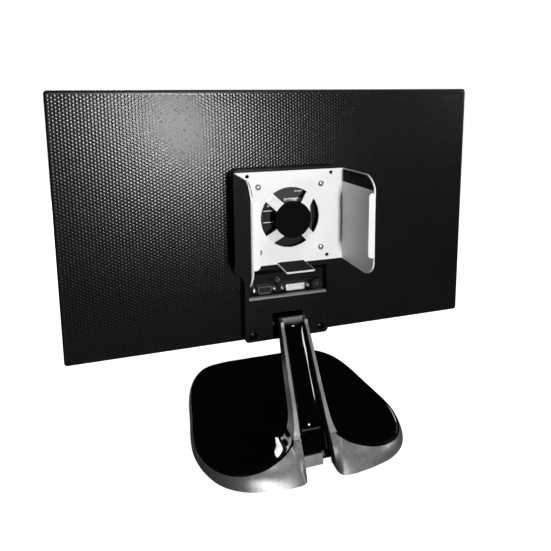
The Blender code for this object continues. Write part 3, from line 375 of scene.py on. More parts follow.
def turned(profile, centre, axis="Y", steps=48, closed=False):
    """A profile of (radius, height) turned round an axis through the centre."""
    built = bmesh.new()
    points = [built.verts.new((radius * MM, 0, height * MM)) for radius, height in profile]
    for first, second in zip(points, points[1:]):
        built.edges.new((first, second))
    if closed:
        built.edges.new((points[-1], points[0]))
    bmesh.ops.spin(built, geom=list(built.verts) + list(built.edges), cent=(0, 0, 0),
                   axis=(0, 0, 1), angle=2 * math.pi, steps=steps, use_duplicate=False)
    bmesh.ops.remove_doubles(built, verts=built.verts, dist=0.000005)
    place = Matrix.Translation(Vector(centre) * MM) @ AXIS_TURN[axis]
    bmesh.ops.transform(built, verts=built.verts, matrix=place)
    return to_mesh("turned", built)


def rounded(corners, segments=6):
    """Points of a polygon whose corners (u, v, radius) are replaced by arcs."""
    points = []
    for index, (u, v, radius) in enumerate(corners):
        here = Vector((u, v))
        before = Vector(corners[index - 1][:2]) - here
        after = Vector(corners[(index + 1) % len(corners)][:2]) - here
        if radius <= 0:
            points.append(here)
            continue
        half = before.angle(after) / 2
        start = here + before.normalized() * radius / math.tan(half)
        end = here + after.normalized() * radius / math.tan(half)
        centre = here + (before.normalized() + after.normalized()).normalized() * (
            radius / math.sin(half))
        first = start - centre
        sweep = first.angle_signed(end - centre)
        for step in range(segments + 1):
            spoke = first.copy()
            spoke.rotate(Matrix.Rotation(-sweep * step / segments, 2))
            points.append(centre + spoke)
    return points


def rectangle(half_width, half_height, radius, middle=(0.0, 0.0), segments=6):
    u, v = middle
    return rounded(((u - half_width, v - half_height, radius),
                    (u + half_width, v - half_height, radius),
                    (u + half_width, v + half_height, radius),
                    (u - half_width, v + half_height, radius)), segments)


def circle(u, v, radius, sides=64):
    return [(u + radius * math.cos(2 * math.pi * step / sides),
             v + radius * math.sin(2 * math.pi * step / sides)) for step in range(sides)]


def linked(name, data):
    thing = bpy.data.objects.new(name, data)
    bpy.context.scene.collection.objects.link(thing)
    return thing


def baked(thing, tools=()):
    """A helper's mesh with its modifiers applied; the helper and its tools are removed."""
    bpy.context.view_layer.update()
    mesh = bpy.data.meshes.new_from_object(
        thing.evaluated_get(bpy.context.evaluated_depsgraph_get()))
    for done in (*tools, thing):
        bpy.data.objects.remove(done, do_unlink=True)
    return mesh


PLANES = {
    "XZ": Matrix(((1, 0, 0, 0), (0, 0, 1, 0), (0, 1, 0, 0), (0, 0, 0, 1))),
    "YZ": Matrix(((0, 0, 1, 0), (1, 0, 0, 0), (0, 1, 0, 0), (0, 0, 0, 1))),
    "XY": Matrix.Identity(4),
}


def prism(outlines, plane, low, high):
    """A flat outline, with further outlines inside it as holes, given a thickness."""
    curve = bpy.data.curves.new("outline", "CURVE")
    curve.dimensions = "2D"
    curve.fill_mode = "BOTH"
    curve.extrude = (high - low) / 2 * MM
    for outline in outlines:
        spline = curve.splines.new("POLY")
        spline.points.add(len(outline) - 1)
        spline.use_cyclic_u = True
        for point, (u, v) in zip(spline.points, outline):
            point.co = (u * MM, v * MM, 0, 1)
    mesh = baked(linked("outline", curve))
    built = bmesh.new()
    built.from_mesh(mesh)
    bpy.data.meshes.remove(mesh)
    bmesh.ops.remove_doubles(built, verts=built.verts, dist=0.00001)
    bmesh.ops.dissolve_limit(built, angle_limit=math.radians(1), verts=built.verts,
                             edges=built.edges)
    bmesh.ops.transform(built, verts=built.verts,
                        matrix=PLANES[plane] @ Matrix.Translation((0, 0, (low + high) / 2 * MM)))
    return to_mesh("prism", built)


def loft(rings, closed_ring=True, caps=(True, True), closed_end=False):
    """A skin through rings of the same number of points (millimetres)."""
    built = bmesh.new()
    loops = [[built.verts.new(Vector(point) * MM) for point in ring] for ring in rings]
    if closed_end:
        loops.append(loops[0])
    count = len(loops[0])
    last = count if closed_ring else count - 1
    for lower, upper in zip(loops, loops[1:]):
        for index in range(last):
            following = (index + 1) % count
            built.faces.new((lower[index], lower[following], upper[following], upper[index]))
    for wanted, loop in zip(caps, (loops[0], loops[-1])):
        if wanted:
            built.faces.new(loop)
    return to_mesh("loft", built)


def spline(rows, steps):
    """A Catmull-Rom curve through rows of numbers, steps pieces to a span."""
    curve = []
    for index in range(len(rows) - 1):
        nearby = [rows[min(max(index + step, 0), len(rows) - 1)] for step in (-1, 0, 1, 2)]
        for step in range(steps):
            t = step / steps
            curve.append([0.5 * (2 * b + (c - a) * t + (2 * a - 5 * b + 4 * c - d) * t * t
                                 + (3 * b - a - 3 * c + d) * t * t * t)
                          for a, b, c, d in zip(*nearby)])
    return curve + [list(rows[-1])]


def smooth_row(points, steps):
    return [row[0] for row in spline([(Vector(point),) for point in points], steps)]


def piece(name, mesh, body, finish, stands_for=(), angle=35, flat_faces=True):
    """A visible piece: named, shaded smooth, finished and riding on a body."""
    mesh.name = name
    thing = linked(name, mesh)
    mesh.materials.clear()
    mesh.materials.append(MATERIALS[finish])
    mesh.shade_smooth()
    mesh.set_sharp_from_angle(angle=math.radians(angle))
    if flat_faces:
        thing.modifiers.new("flat_faces", "WEIGHTED_NORMAL").keep_sharp = True
    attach(thing, body)
    if stands_for:
        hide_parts(*stands_for)
    return thing


def walled(mesh, thickness):
    """The surface, given a wall on its inner side."""
    thing = linked("work", mesh)
    wall = thing.modifiers.new("wall", "SOLIDIFY")
    wall.thickness = thickness * MM
    wall.offset = -1
    return baked(thing)


def shaped(mesh, cut=(), join=(), round_by=0.0, segments=2, angle=40):
    """The mesh after joining and cutting others, with its sharp edges rounded."""
    thing, tools = linked("work", mesh), []
    for operation, meshes in (("UNION", join), ("DIFFERENCE", cut)):
        for other in meshes:
            tools.append(linked("tool", other))
            modifier = thing.modifiers.new("boolean", "BOOLEAN")
            modifier.operation = operation
            modifier.object = tools[-1]
    if round_by:
        bevel = thing.modifiers.new("bevel", "BEVEL")
        bevel.width = round_by * MM
        bevel.segments = segments
        bevel.limit_method = "ANGLE"
        bevel.angle_limit = math.radians(angle)
        bevel.miter_outer = "MITER_ARC"
    return baked(thing, tools)


def merged(meshes):
    """Several closed meshes as one."""
    built = bmesh.new()
    for mesh in meshes:
        built.from_mesh(mesh)
        bpy.data.meshes.remove(mesh)
    mesh = bpy.data.meshes.new("merged")
    built.to_mesh(mesh)
    built.free()
    return mesh


# ---- display
def crown(x, z):
    across = x / HALF_WIDTH
    upward = (z - MIDDLE_Z) / HALF_HEIGHT
    return REAR_EDGE + REAR_CROWN * (1 - across * across) * (1 - upward * upward)


RIM_TURN, RIM_ACROSS, RIM_UP = 6, 40, 24      # pieces round a corner and along the sides


def rim_ring(inset, depth, on_dome):
    """A loop round the display, inset from its edge; on the dome or at a fixed depth."""
    half_u, half_v = HALF_WIDTH - inset, HALF_HEIGHT - inset
    corner = max(DISPLAY_CORNER - inset, 0.4)
    ring = []
    for quarter, (sign_u, sign_v) in enumerate(((1, 1), (-1, 1), (-1, -1), (1, -1))):
        centre = Vector((sign_u * (half_u - corner), sign_v * (half_v - corner)))
        for step in range(RIM_TURN + 1):
            angle = math.pi / 2 * (quarter + step / RIM_TURN)
            ring.append(centre + corner * Vector((math.cos(angle), math.sin(angle))))
        start = ring[-1]
        end, count = ((Vector((start.x, -start.y)), RIM_UP) if quarter % 2
                      else (Vector((-start.x, start.y)), RIM_ACROSS))
        ring += [start.lerp(end, step / count) for step in range(1, count)]
    return [(u, (crown(u, MIDDLE_Z + v) if on_dome else 0) + depth, MIDDLE_Z + v)
            for u, v in ring]


def rear_cover_rim():
    """The plain rounded border of the rear cover, with its wall."""
    front = BEZEL_HIGH.y + GAP
    rings = [rim_ring(0, front, False), rim_ring(0, REAR_EDGE - EDGE_ROUND, False)]
    for step in range(1, 7):
        angle = math.pi / 2 * step / 6
        inset = EDGE_ROUND * (1 - math.cos(angle))
        drop = EDGE_ROUND * (1 - math.sin(angle))
        rings.append(rim_ring(inset, -drop, True) if step > 3
                     else rim_ring(inset, REAR_EDGE - drop, False))
    rings.append(rim_ring(BORDER, 0, True))
    rings.append(rim_ring(BORDER, -COVER_WALL, True))
    rings.append(rim_ring(COVER_WALL, -COVER_WALL - 0.6, True))
    rings.append(rim_ring(COVER_WALL, front, False))
    mesh = loft(rings, caps=(), closed_end=True)
    piece("rear_cover_rim", mesh, "display", "bezel_black", ("rear_cover",), 50)


# a cell's corners: across in millimetres, upward in rows
HEX_FAR, HEX_NEAR = 2.2973, 1.2226
WELD = 50                               # corners closer than 1 / WELD are one
HEX_CORNERS = ((HEX_FAR, 0), (HEX_NEAR, 1), (-HEX_NEAR, 1),
               (-HEX_FAR, 0), (-HEX_NEAR, -1), (HEX_NEAR, -1))
WINDOW_HALF = 49.0                            # the field stops behind the housing


def rear_cover_texture():
    """The dimpled field: one cell for each dimple, in staggered columns."""
    inset = BORDER + 0.1
    edge_x, edge_z = HALF_WIDTH - inset, HALF_HEIGHT - inset
    window_low, window_high = HOUSING_LOW.z + 5 - MIDDLE_Z, HOUSING_HIGH.z - 6 - MIDDLE_Z
    columns = int(edge_x / DIMPLE_COLUMN)
    rows = int(edge_z / DIMPLE_ROW)
    built = bmesh.new()
    shared = {}

    def point(u, v, depth=0):
        return built.verts.new(Vector((u, crown(u, MIDDLE_Z + v) - depth, MIDDLE_Z + v)) * MM)

    def corner(u, v):
        if abs(u) > edge_x - 0.55 * DIMPLE_COLUMN:
            u = math.copysign(edge_x, u)
        if abs(v) > edge_z - 1.1 * DIMPLE_ROW:
            v = math.copysign(edge_z, v)
        key = (round(u * WELD), round(v * WELD))
        if key not in shared:
            shared[key] = point(u, v)
        return shared[key]

    for column in range(-columns, columns + 1):
        for row in range(-rows, rows + 1):
            u, v = column * DIMPLE_COLUMN, row * DIMPLE_ROW
            inside = abs(u) < WINDOW_HALF and window_low < v < window_high
            if (column + row) % 2 or inside:
                continue
            outer = [corner(u + x, v + z * DIMPLE_ROW) for x, z in HEX_CORNERS]
            ring = []
            for x, z in HEX_CORNERS:
                spoke = Vector((x, z * DIMPLE_ROW)).normalized() * DIMPLE_RADIUS
                ring.append(point(u + spoke.x, v + spoke.y))
            middle = point(u, v, DIMPLE_DEPTH)
            for index in range(6):
                following = (index + 1) % 6
                far = dict.fromkeys((outer[index], outer[following]))    # may be one vertex
                built.faces.new((*far, ring[following], ring[index]))
                built.faces.new((ring[index], ring[following], middle))
    bmesh.ops.recalc_face_normals(built, faces=built.faces)
    rim = [edge for edge in built.edges if edge.is_boundary]
    pulled = bmesh.ops.extrude_edge_only(built, edges=rim)["geom"]
    low = [found for found in pulled if isinstance(found, bmesh.types.BMVert)]
    bmesh.ops.translate(built, verts=low, vec=(0, -(COVER_WALL - 0.4) * MM, 0))
    rim = [edge for edge in built.edges if edge.is_boundary]
    bmesh.ops.triangle_fill(built, use_beauty=True, use_dissolve=False, edges=rim)
    mesh = to_mesh("texture", built)
    piece("rear_cover_texture", mesh, "display", "textured_black",
          ("rear_cover",), 60, False)


def front_bezel():
    low, high = BEZEL_LOW, BEZEL_HIGH
    screen = edges_of("lcd_panel")
    half_u, half_v = screen[1].x - 2.8, (screen[1].z - screen[0].z) / 2 - 2.6
    window = rectangle(half_u, half_v, 0, (0, (screen[0].z + screen[1].z) / 2))
    outer = rectangle(HALF_WIDTH, HALF_HEIGHT, DISPLAY_CORNER, (0, MIDDLE_Z), 8)
    cutters = []
    for number in (1, 2, 3, 4):
        at = middle_of("osd_key_%d" % number)
        cutters.append(prism((rectangle(5.3, 2.3, 1.6, (at.x, at.z)),), "XZ", low.y - 2,
                             high.y + 2))
    at = middle_of("power_key")
    cutters.append(cylinder((at.x, high.y, at.z), 4.3, 14))
    at = middle_of("power_led_lens")
    cutters.append(cylinder((at.x, high.y, at.z), 1.3, 14, 24))
    mesh = shaped(prism((outer, window), "XZ", low.y, high.y), cutters, round_by=0.6, segments=3)
    piece("bezel_frame", mesh, "display", "bezel_black", ("front_bezel",))


# ---- centre housing
FOOT_HALF, STEP_LOW, STEP_HIGH = 53.0, 178.0, 188.0      # where the housing narrows


def housing_outline(inset=0.0):
    upper, lower = HOUSING_HIGH.x - inset, FOOT_HALF - inset
    corner, foot = max(7.0 - inset, 2.0), max(5.0 - inset, 2.0)
    top, bottom = HOUSING_HIGH.z - inset, HOUSING_LOW.z + inset
    half = ((lower, bottom, foot), (lower, STEP_LOW, 3.0),
            (upper, STEP_HIGH, 3.0), (upper, top, corner))
    other = tuple((-u, v, r) for u, v, r in reversed(half))
    return rounded(half + other, 6)


RECESS = (47.5, -50.3, 0.0, 153.0, 187.0)     # left, right, back, floor, top
PANEL_HALF, PANEL_LOW, PANEL_HIGH = 36.3, 101.2, 139.5


def recess_profile(grow, sill=0.0):
    """Side view (Y, Z) of the port recess: a sloping roof, and a round edge to its floor."""
    back, floor, top = RECESS[2:]
    mouth, low = HOUSING_BACK + 5, floor - grow
    edge = [(mouth, low, 0)]
    if sill:
        edge = [(HOUSING_BACK - 0.3, low, sill), (HOUSING_BACK + 0.6, low - 2 * sill, 0),
                (mouth, low - 2 * sill, 0)]
    return rounded([(back - grow, low, 0)] + edge + [(mouth, top + grow + 3, 0),
                                                     (back - grow, top + grow - 9, 0)])


def centre_housing():
    wall = 2.2
    body = shaped(prism((housing_outline(),), "XZ", -9.5, HOUSING_BACK), round_by=1.6, segments=5,
                  angle=60)
    cavity = shaped(prism((housing_outline(wall),), "XZ", -20, HOUSING_BACK - wall),
                    [prism((recess_profile(wall),), "YZ", RECESS[1] - wall, RECESS[0] + wall)])
    cutters = [cavity, prism((recess_profile(0, 2.6),), "YZ", RECESS[1], RECESS[0]),
               block((-PANEL_HALF, 4, PANEL_LOW), (PANEL_HALF, 14, PANEL_HIGH)),
               prism((rectangle(15.8, 6.4, 1, (VGA.x, VGA.z)),), "XZ", -6, 3),
               prism((rectangle(19.6, 6.6, 1, (DVI.x, DVI.z)),), "XZ", -6, 3),
               cylinder((AUDIO.x, 0, AUDIO.z), 3.6, 8),
               cylinder((POWER.x, 0, POWER.z), 7.9, 8)]
    for number in (1, 2):
        at = middle_of("housing_screw_%d" % number)
        cutters.append(turned([(0, 0), (4.6, 0), (4.6, 5.5), (5.8, 6.8), (5.8, 9), (0, 9)],
                              (at.x, HOUSING_BACK - 6.2, at.z)))
    for at in SCREWS:
        cutters.append(cylinder((at.x, HOUSING_BACK, at.z), 2.3, 12, 24))
    mesh = shaped(body, cutters, round_by=0.35, segments=2, angle=55)
    piece("housing_shell", mesh, "display", "satin_black", ("centre_housing",))


def hinge_cover():
    middle = (PANEL_LOW + PANEL_HIGH) / 2
    outer = rectangle(PANEL_HALF - GAP, (PANEL_HIGH - PANEL_LOW) / 2 - GAP, 1.5, (0, middle))
    slot = rectangle(19.0, 14.25, 0.8, (0, 118.25))
    mesh = shaped(prism((outer, slot), "XZ", HOUSING_BACK - 2.2, HOUSING_BACK), round_by=0.4,
                  segments=3)
    piece("hinge_slot_cover", mesh, "display", "satin_black", ("hinge_cover",))


def cross_screw(name, node, finish, head, size, depth):
    """A cross-head screw that faces the rear; head lists (radius, depth below its top)."""
    low, high = edges_of(node)
    at, top, thin = (low + high) / 2, high.y, size * 0.22
    profile = [(radius, top - down) for radius, down in head]
    mesh = turned(profile + [(head[-1][0], low.y), (0, low.y)], (at.x, 0, at.z))
    recess = [block((at.x - half_x, top - depth, at.z - half_z),
                    (at.x + half_x, top + 1, at.z + half_z))
              for half_x, half_z in ((size, thin), (thin, size))]
    piece(name, shaped(mesh, recess), "display", finish, (node,))


def housing_screws():
    head = ((0, 0), (2.2, 0.1), (3.2, 0.5), (3.6, 1.1), (3.6, 2), (1.5, 2))
    for number in (1, 2):
        cross_screw("cross_screw_%d" % number, "housing_screw_%d" % number, "dark_steel",
                    head, 2.0, 1.2)


def label_block(name, spans, lift, finish):
    """Thin printed fields on the film label: (left, bottom, right, top) each."""
    face = edges_of("rating_label")[1].y
    meshes = [block((left, face + 0.02, bottom), (right, face + 0.02 + lift, top))
              for left, bottom, right, top in spans]
    piece(name, merged(meshes), "display", finish)


def label_print():
    """Plain blocks and lines, with no lettering."""
    label_block("label_dark_fields", ((-30, 208, 30, 226), (-30, 240, -6, 262), (6, 226, 30, 252),
                                      (-30, 262, -14, 293), (14, 252, 30, 276)), 0.04,
                "label_dark")
    label_block("label_white_fields", ((-18, 264, 4, 271), (-29, 253.5, -22, 260),
                                       (13, 262, 24, 268)), 0.08, "label_white")
    label_block("label_grey_fields", ((-20, 273, 16, 281),), 0.08, "label_grey")
    lines = [(17, z, 29, z + 0.9) for z in (243.5, 257)]
    lines += [(-18 + 2.4 * step, 278, -16.6 + 2.4 * step, 279.6) for step in range(4)]
    lines += [(-29 + 2.2 * step, 251, -27.8 + 2.2 * step, 252) for step in range(4)]
    label_block("label_lines", lines, 0.12, "label_white")


# ---- ports
def d_shape(x, z, width, height, slope, corner):
    half = width / 2
    return rounded(((x - half + slope, z - height / 2, corner),
                    (x + half - slope, z - height / 2, corner),
                    (x + half, z + height / 2, corner), (x - half, z + height / 2, corner)), 5)


def socket(name, at, flange, outline, top, insert_top, holes, finish, edge):
    """A D-shaped socket; outline is its width, height and slope outside the shell."""
    x, z = at.x, at.z
    width, height, slope = outline
    plate = shaped(prism((rectangle(*flange, 1.0, (x, z)),), "XZ", -3.2, -2.0), round_by=0.3)
    piece(name + "_flange", plate, "display", "dark_steel")
    shell = prism((d_shape(x, z, width, height, slope, 1.6),
                   d_shape(x, z, width - 1.0, height - 1.0, slope - 0.1, 1.2)), "XZ", -2.1, top)
    piece(name + "_shell", shaped(shell, round_by=0.15), "display", "zinc_plate",
          (name + "_connector",))
    insert = prism((d_shape(x, z, width - 1.3, height - 1.3, slope - 0.1, 1.1),), "XZ", -2.0,
                   insert_top)
    piece(name + "_insert", shaped(insert, holes, round_by=edge), "display", finish)


def vga_socket():
    holes = [cylinder((VGA.x + (place - 2 + shift) * 2.29, 4.4, VGA.z + row * 1.98), 0.55, 3.0, 12)
             for row, shift in ((1, 0.25), (0, -0.25), (-1, 0.25)) for place in range(5)]
    socket("vga", VGA, (15.3, 6.0), (17.2, 8.4, 1.4), 5.6, 4.4, holes, "port_dark", 0.15)


def dvi_socket():
    holes = [cylinder((DVI.x + 9.3 - place * 2.0, 4.2, DVI.z + row * 2.0), 0.6, 3.0, 12)
             for row in (1, 0, -1) for place in range(8)]
    holes.append(block((DVI.x - 10.6, 2.6, DVI.z - 0.35), (DVI.x - 7.0, 6.0, DVI.z + 0.35)))
    socket("dvi", DVI, (19.2, 6.2), (25.6, 8.6, 0.9), 5.2, 4.2, holes, "port_white", 0.12)


def jack_posts():
    for number in (1, 2, 3, 4):
        name = "jackpost_%d" % number
        low, high = edges_of(name)
        at = (low + high) / 2
        post = turned([(0, high.y), (2.5, high.y), (2.9, high.y - 0.5), (2.9, low.y), (0, low.y)],
                      (at.x, 0, at.z), steps=6)
        bore = cylinder((at.x, high.y, at.z), 1.3, 6, 24)
        mesh = shaped(post, [bore], round_by=0.2)
        piece("hex_post_%d" % number, mesh, "display", "bright_steel", (name,), 25)


def audio_socket():
    low, high = edges_of("audio_jack")
    rim = turned([(1.8, high.y - 0.4), (2.1, high.y), (3.0, high.y), (3.3, high.y - 0.4),
                  (3.3, low.y + 6), (4.5, low.y + 6), (4.5, low.y + 2), (1.8, low.y + 2)],
                 (AUDIO.x, 0, AUDIO.z), closed=True)
    piece("audio_rim", rim, "display", "bright_steel", ("audio_jack",))
    core = turned([(0, low.y + 4), (1.6, low.y + 4), (1.6, low.y + 2.2), (0, low.y + 2.2)],
                  (AUDIO.x, 0, AUDIO.z))
    piece("audio_contact", core, "display", "deep_black")


def power_socket():
    low, high = edges_of("dc_jack")
    rim = turned([(3.4, high.y - 0.5), (3.9, high.y), (6.9, high.y), (7.4, high.y - 0.6),
                  (7.4, low.y + 3), (3.4, low.y + 3)], (POWER.x, 0, POWER.z), closed=True,
                 steps=64)
    piece("power_rim", rim, "display", "port_dark", ("dc_jack",))
    pin = turned([(0, high.y - 1.6), (0.7, high.y - 1.6), (1.0, high.y - 2.2), (1.0, low.y + 3),
                  (0, low.y + 3)], (POWER.x, 0, POWER.z), steps=24)
    piece("power_pin", pin, "display", "bright_steel")
    spring = turned([(3.1, high.y - 2.2), (3.35, high.y - 2.2), (3.35, low.y + 3.2),
                     (3.1, low.y + 3.2)], (POWER.x, 0, POWER.z), closed=True)
    piece("power_sleeve", spring, "display", "bright_steel")


def port_sill_painted_highlight():
    """A ledge along the recess's floor, rounded over at its front; its light grey is painted
    highlight.
    """
    left, right, back, floor, top = RECESS
    front = HOUSING_BACK + 0.1
    outline = rounded(((front - 5.5, floor + 0.1, 0), (front - 5.5, floor + 0.9, 0.3),
                       (front - 0.4, floor + 0.9, 1.6), (front, floor - 1.8, 0.3),
                       (front - 0.4, floor - 1.8, 0.2), (front - 1.2, floor + 0.1, 0.8)))
    mesh = prism((outline,), "YZ", right + 0.4, left - 0.4)
    piece("recess_sill_painted_highlight", mesh, "display", "sill_painted_highlight_grey")


# ---- cradle
OPENING_RISE, OPENING_RADIUS = 0.6, 35.0
SPIDER_RISE = 8.0
PAD_RADIUS = 21.0
CRADLE_CORNER = 23.0
TAB_HALF, TAB_LENGTH = 16.5, 34.0
FLANGE_WIDTH, FLANGE_LOW, FLANGE_HIGH, FLANGE_CORNER = 8.5, 219.3, 287.0, 4.0
BEND = 1.2
SPARE_HOLES = ((50.0, 300.2), (-50.0, 300.2), (45.6, 202.4), (-45.6, 202.4))


def sheet_section(inset):
    """The bent sheet seen from above: one side of it, from flange to flange."""
    half, front = CRADLE_HIGH.x - inset, CRADLE_HIGH.y - inset
    lip = CRADLE_HIGH.x - FLANGE_WIDTH
    radius = BEND + SHEET - inset
    half_line = [(lip, front, 0), (half, front, radius), (half, PLATE_BACK + inset, radius)]
    other = [(-u, v, r) for u, v, r in reversed(half_line)]
    return rounded(half_line + other, 5)


def bent_sheet():
    """Plate, walls and front flanges as one strip, before its outline is cut."""
    outline = sheet_section(0.0) + sheet_section(SHEET)[::-1]
    return prism((outline,), "XY", CRADLE_LOW.z, CRADLE_HIGH.z)


def spider_arm(angle):
    outward = Vector((math.cos(angle), 0, math.sin(angle)))
    across = Vector((-math.sin(angle), 0, math.cos(angle))) * 6.0
    level = PLATE_FACE - SHEET / 2
    path = smooth_row([(OPENING_RADIUS + 4, level, 0), (OPENING_RADIUS - 1, level, 0),
                       (OPENING_RADIUS - 3.5, level + 0.9, 0),
                       (PAD_RADIUS + 1.5, level + SPIDER_RISE - 0.9, 0),
                       (PAD_RADIUS - 1, level + SPIDER_RISE, 0),
                       (PAD_RADIUS - 7, level + SPIDER_RISE, 0)], 4)
    rings = []
    for place in path:
        middle = outward * place.x + Vector((0, place.y, CRADLE_MIDDLE))
        half = Vector((0, SHEET / 2 - 0.06, 0))
        rings.append((middle - across - half, middle + across - half,
                      middle + across + half, middle - across + half))
    return loft(rings)


def cradle_sheet():
    wall_outline = rounded(((PLATE_BACK - 1, CRADLE_LOW.z, 0),
                            (CRADLE_HIGH.y, CRADLE_LOW.z, CRADLE_CORNER),
                            (CRADLE_HIGH.y, CRADLE_HIGH.z, CRADLE_CORNER),
                            (PLATE_BACK - 1, CRADLE_HIGH.z, 0)), 16)
    big = ((PLATE_BACK - 5, CRADLE_LOW.z - 9), (CRADLE_HIGH.y + 9, CRADLE_LOW.z - 9),
           (CRADLE_HIGH.y + 9, CRADLE_HIGH.z + 9), (PLATE_BACK - 5, CRADLE_HIGH.z + 9))
    around = prism((big, wall_outline), "YZ", -CRADLE_HIGH.x - 5, CRADLE_HIGH.x + 5)
    half, lip = CRADLE_HIGH.x, CRADLE_HIGH.x - FLANGE_WIDTH
    reach = half - SHEET - BEND * 0.4
    cutters = [around]
    for side in (1, -1):
        for end, near in ((-1, FLANGE_LOW), (1, FLANGE_HIGH)):
            far, foot = near + end * 60, near - end * FLANGE_CORNER
            corners = rounded(((side * (lip - 9), far, 0), (side * reach, far, 0),
                               (side * reach, near, 0), (side * lip, near, FLANGE_CORNER),
                               (side * lip, foot, 0), (side * (lip - 9), foot, 0)), 8)
            cutters.append(prism((corners,), "XZ", CRADLE_HIGH.y - SHEET - 0.2,
                                 CRADLE_HIGH.y + 2))
    opening = prism((circle(0, CRADLE_MIDDLE + OPENING_RISE, OPENING_RADIUS, 96),), "XZ",
                    PLATE_BACK - 2, PLATE_FACE + 2)
    cutters.append(opening)
    plate = shaped(bent_sheet(), cutters)
    disc = turned([(0, 0.8), (PAD_RADIUS - 1, 0.8), (PAD_RADIUS - 1, -0.8), (0, -0.8)],
                  (0, PLATE_FACE - SHEET / 2 + SPIDER_RISE, CRADLE_MIDDLE), steps=64)
    arms = [spider_arm(math.radians(45 + 90 * turn)) for turn in range(4)]
    tab_front = PLATE_FACE + TAB_LENGTH
    tab = prism((rectangle(TAB_HALF, (tab_front - PLATE_BACK) / 2, 1.0,
                           (0, (tab_front + PLATE_BACK) / 2)),), "XY", CRADLE_LOW.z,
                CRADLE_LOW.z + SHEET)
    holes = [cylinder((at.x, PLATE_FACE, at.z), 2.3, 8, 32) for at in SCREWS]
    holes += [cylinder((x, PLATE_FACE, z), 2.2, 8, 32) for x, z in SPARE_HOLES]
    mesh = shaped(shaped(plate, join=[tab, disc] + arms), holes, round_by=0.25, segments=2,
                  angle=50)
    piece("cradle_sheet", mesh, "display", "cradle_white", ("cradle",), 30)


def cradle_fittings():
    low, high = edges_of("cradle_pad")
    pad = turned([(0, high.y), (PAD_RADIUS - 1.4, high.y), (PAD_RADIUS - 0.5, high.y - 0.4),
                  (PAD_RADIUS, high.y - 1.2), (PAD_RADIUS, low.y), (0, low.y)],
                 (0, 0, CRADLE_MIDDLE), steps=72)
    piece("round_pad", pad, "display", "rubber", ("cradle_pad",))
    head = ((0, 0), (1.6, 0.1), (2.8, 0.6), (3.4, 1.4), (3.5, 2.2), (1.8, 2.2))
    for number in (1, 2, 3, 4):
        cross_screw("cradle_cross_screw_%d" % number, "cradle_screw_%d" % number, "zinc_plate",
                    head, 1.9, 1.4)
    # a thin dark grey layer on the white tab's top: painted shade for the tab's dimly lit top face
    tab_top = CRADLE_LOW.z + SHEET
    mesh = block((-15.6, PLATE_FACE + 0.6, tab_top + 0.05), (15.6, PLATE_FACE + 33.0,
                                                            tab_top + 0.7), 0.25)
    piece("tab_painted_shade", mesh, "display", "tab_painted_shade_grey")


# ---- neck
NECK_STEPS = 5
# flat rows of numbers, with smooth ones put in between
SECTIONS = spline([(*rear, *front, half, inner) for rear, front, half, inner in NECK], NECK_STEPS)


def section_point(section, across, depth):
    rear_y, rear_z, front_y, front_z = section[:4]
    return (across, rear_y + (front_y - rear_y) * depth, rear_z + (front_z - rear_z) * depth)


def neck_ring(section, half, near, far):
    return [section_point(section, -half, near), section_point(section, half, near),
            section_point(section, half, far), section_point(section, -half, far)]


def neck_shell():
    outer = loft([neck_ring(section, section[4], 0, 1) for section in SECTIONS])
    hollow = [neck_ring(section, section[5], -0.3, 0.86) for section in SECTIONS[:-4]]
    hollow += [neck_ring(section, section[5], -0.3, 0.80) for section in SECTIONS[-3:]]
    hollow.append([(x, y - 1.0, z + 3.0) for x, y, z in hollow[-1]])
    under = [(x, y + 12, z - 18) for x, y, z in hollow[0]]
    window = block((-12.5, 15, 108), (12.5, 37, 122.5))
    mesh = shaped(outer, [loft([under] + hollow), window], round_by=0.7, segments=3, angle=45)
    piece("neck_frame", mesh, "stand", "silver_paint", ("neck_shell",))


def neck_cover():
    """The glossy filler between the rails: a full round back, turned in at both ends."""
    first, last = 3, len(SECTIONS) - 1 - 3
    rings = []
    for index in range(first, last + 1):
        section = SECTIONS[index]
        half = section[5] - 0.4
        from_top = (last - index) / 4.0
        from_foot = (index - first) / 2.0
        full = math.sqrt(max(0.0, 1 - max(0.0, 1 - from_top) ** 2))
        full *= math.sqrt(max(0.0, 1 - 0.7 * max(0.0, 1 - from_foot) ** 2))
        ring = []
        for step in range(25):
            angle = math.pi * step / 24
            across = -half * math.cos(angle)
            depth = 0.30 - (0.25 * full) * math.sin(angle) ** 2
            ring.append(section_point(section, across, depth))
        ring.append(section_point(section, half, 0.45))
        ring.append(section_point(section, -half, 0.45))
        rings.append(ring)
    piece("neck_gloss_cover", loft(rings), "stand", "piano_black",
          ("neck_cover",), 40, False)


# ---- base
SKIRT_EDGE = 1.4
SHELL_WALL, DISH_WALL = 1.8, 1.6
BASE_STEPS = 5


def base_shell():
    floor = smooth_row([(x, y, SKIRT_EDGE) for (x, y), _, _ in BASE], BASE_STEPS)
    rim = smooth_row([point for _, point, _ in BASE], BASE_STEPS)
    corner = ((WING_INNER, 117.6), (WING_INNER, 103.0))
    floor += [Vector((x, y, SKIRT_EDGE)) for x, y in corner]
    rim += [Vector((WING_INNER, 98.8, SEAM_Z)), Vector((WING_INNER, 84.5, SEAM_Z))]
    rearmost = edges_of("base_shell")[1].y - 0.02
    rows = []
    for step in range(11):
        amount = step / 10
        row = []
        for index, (low, high) in enumerate(zip(floor, rim)):
            top = high.copy()
            top.z = high.z - (0.35 if index < len(rim) - 2 - BASE_STEPS else 0.9)
            point = low.lerp(top, amount)
            point.z += math.sin(math.pi * amount) * 0.12 * (top.z - low.z)
            point.y = min(point.y, rearmost)
            row.append(point)
        left = [Vector((-p.x, p.y, p.z)) for p in reversed(row)]
        rows.append(left[:-1] + row)
    mesh = loft(rows, closed_ring=False, caps=())
    front = min(mesh.polygons, key=lambda face: face.center.y)
    if front.normal.y > 0:
        mesh.flip_normals()
    piece("base_wings", walled(mesh, SHELL_WALL), "stand", "silver_paint",
          ("base_shell",), 38, False)


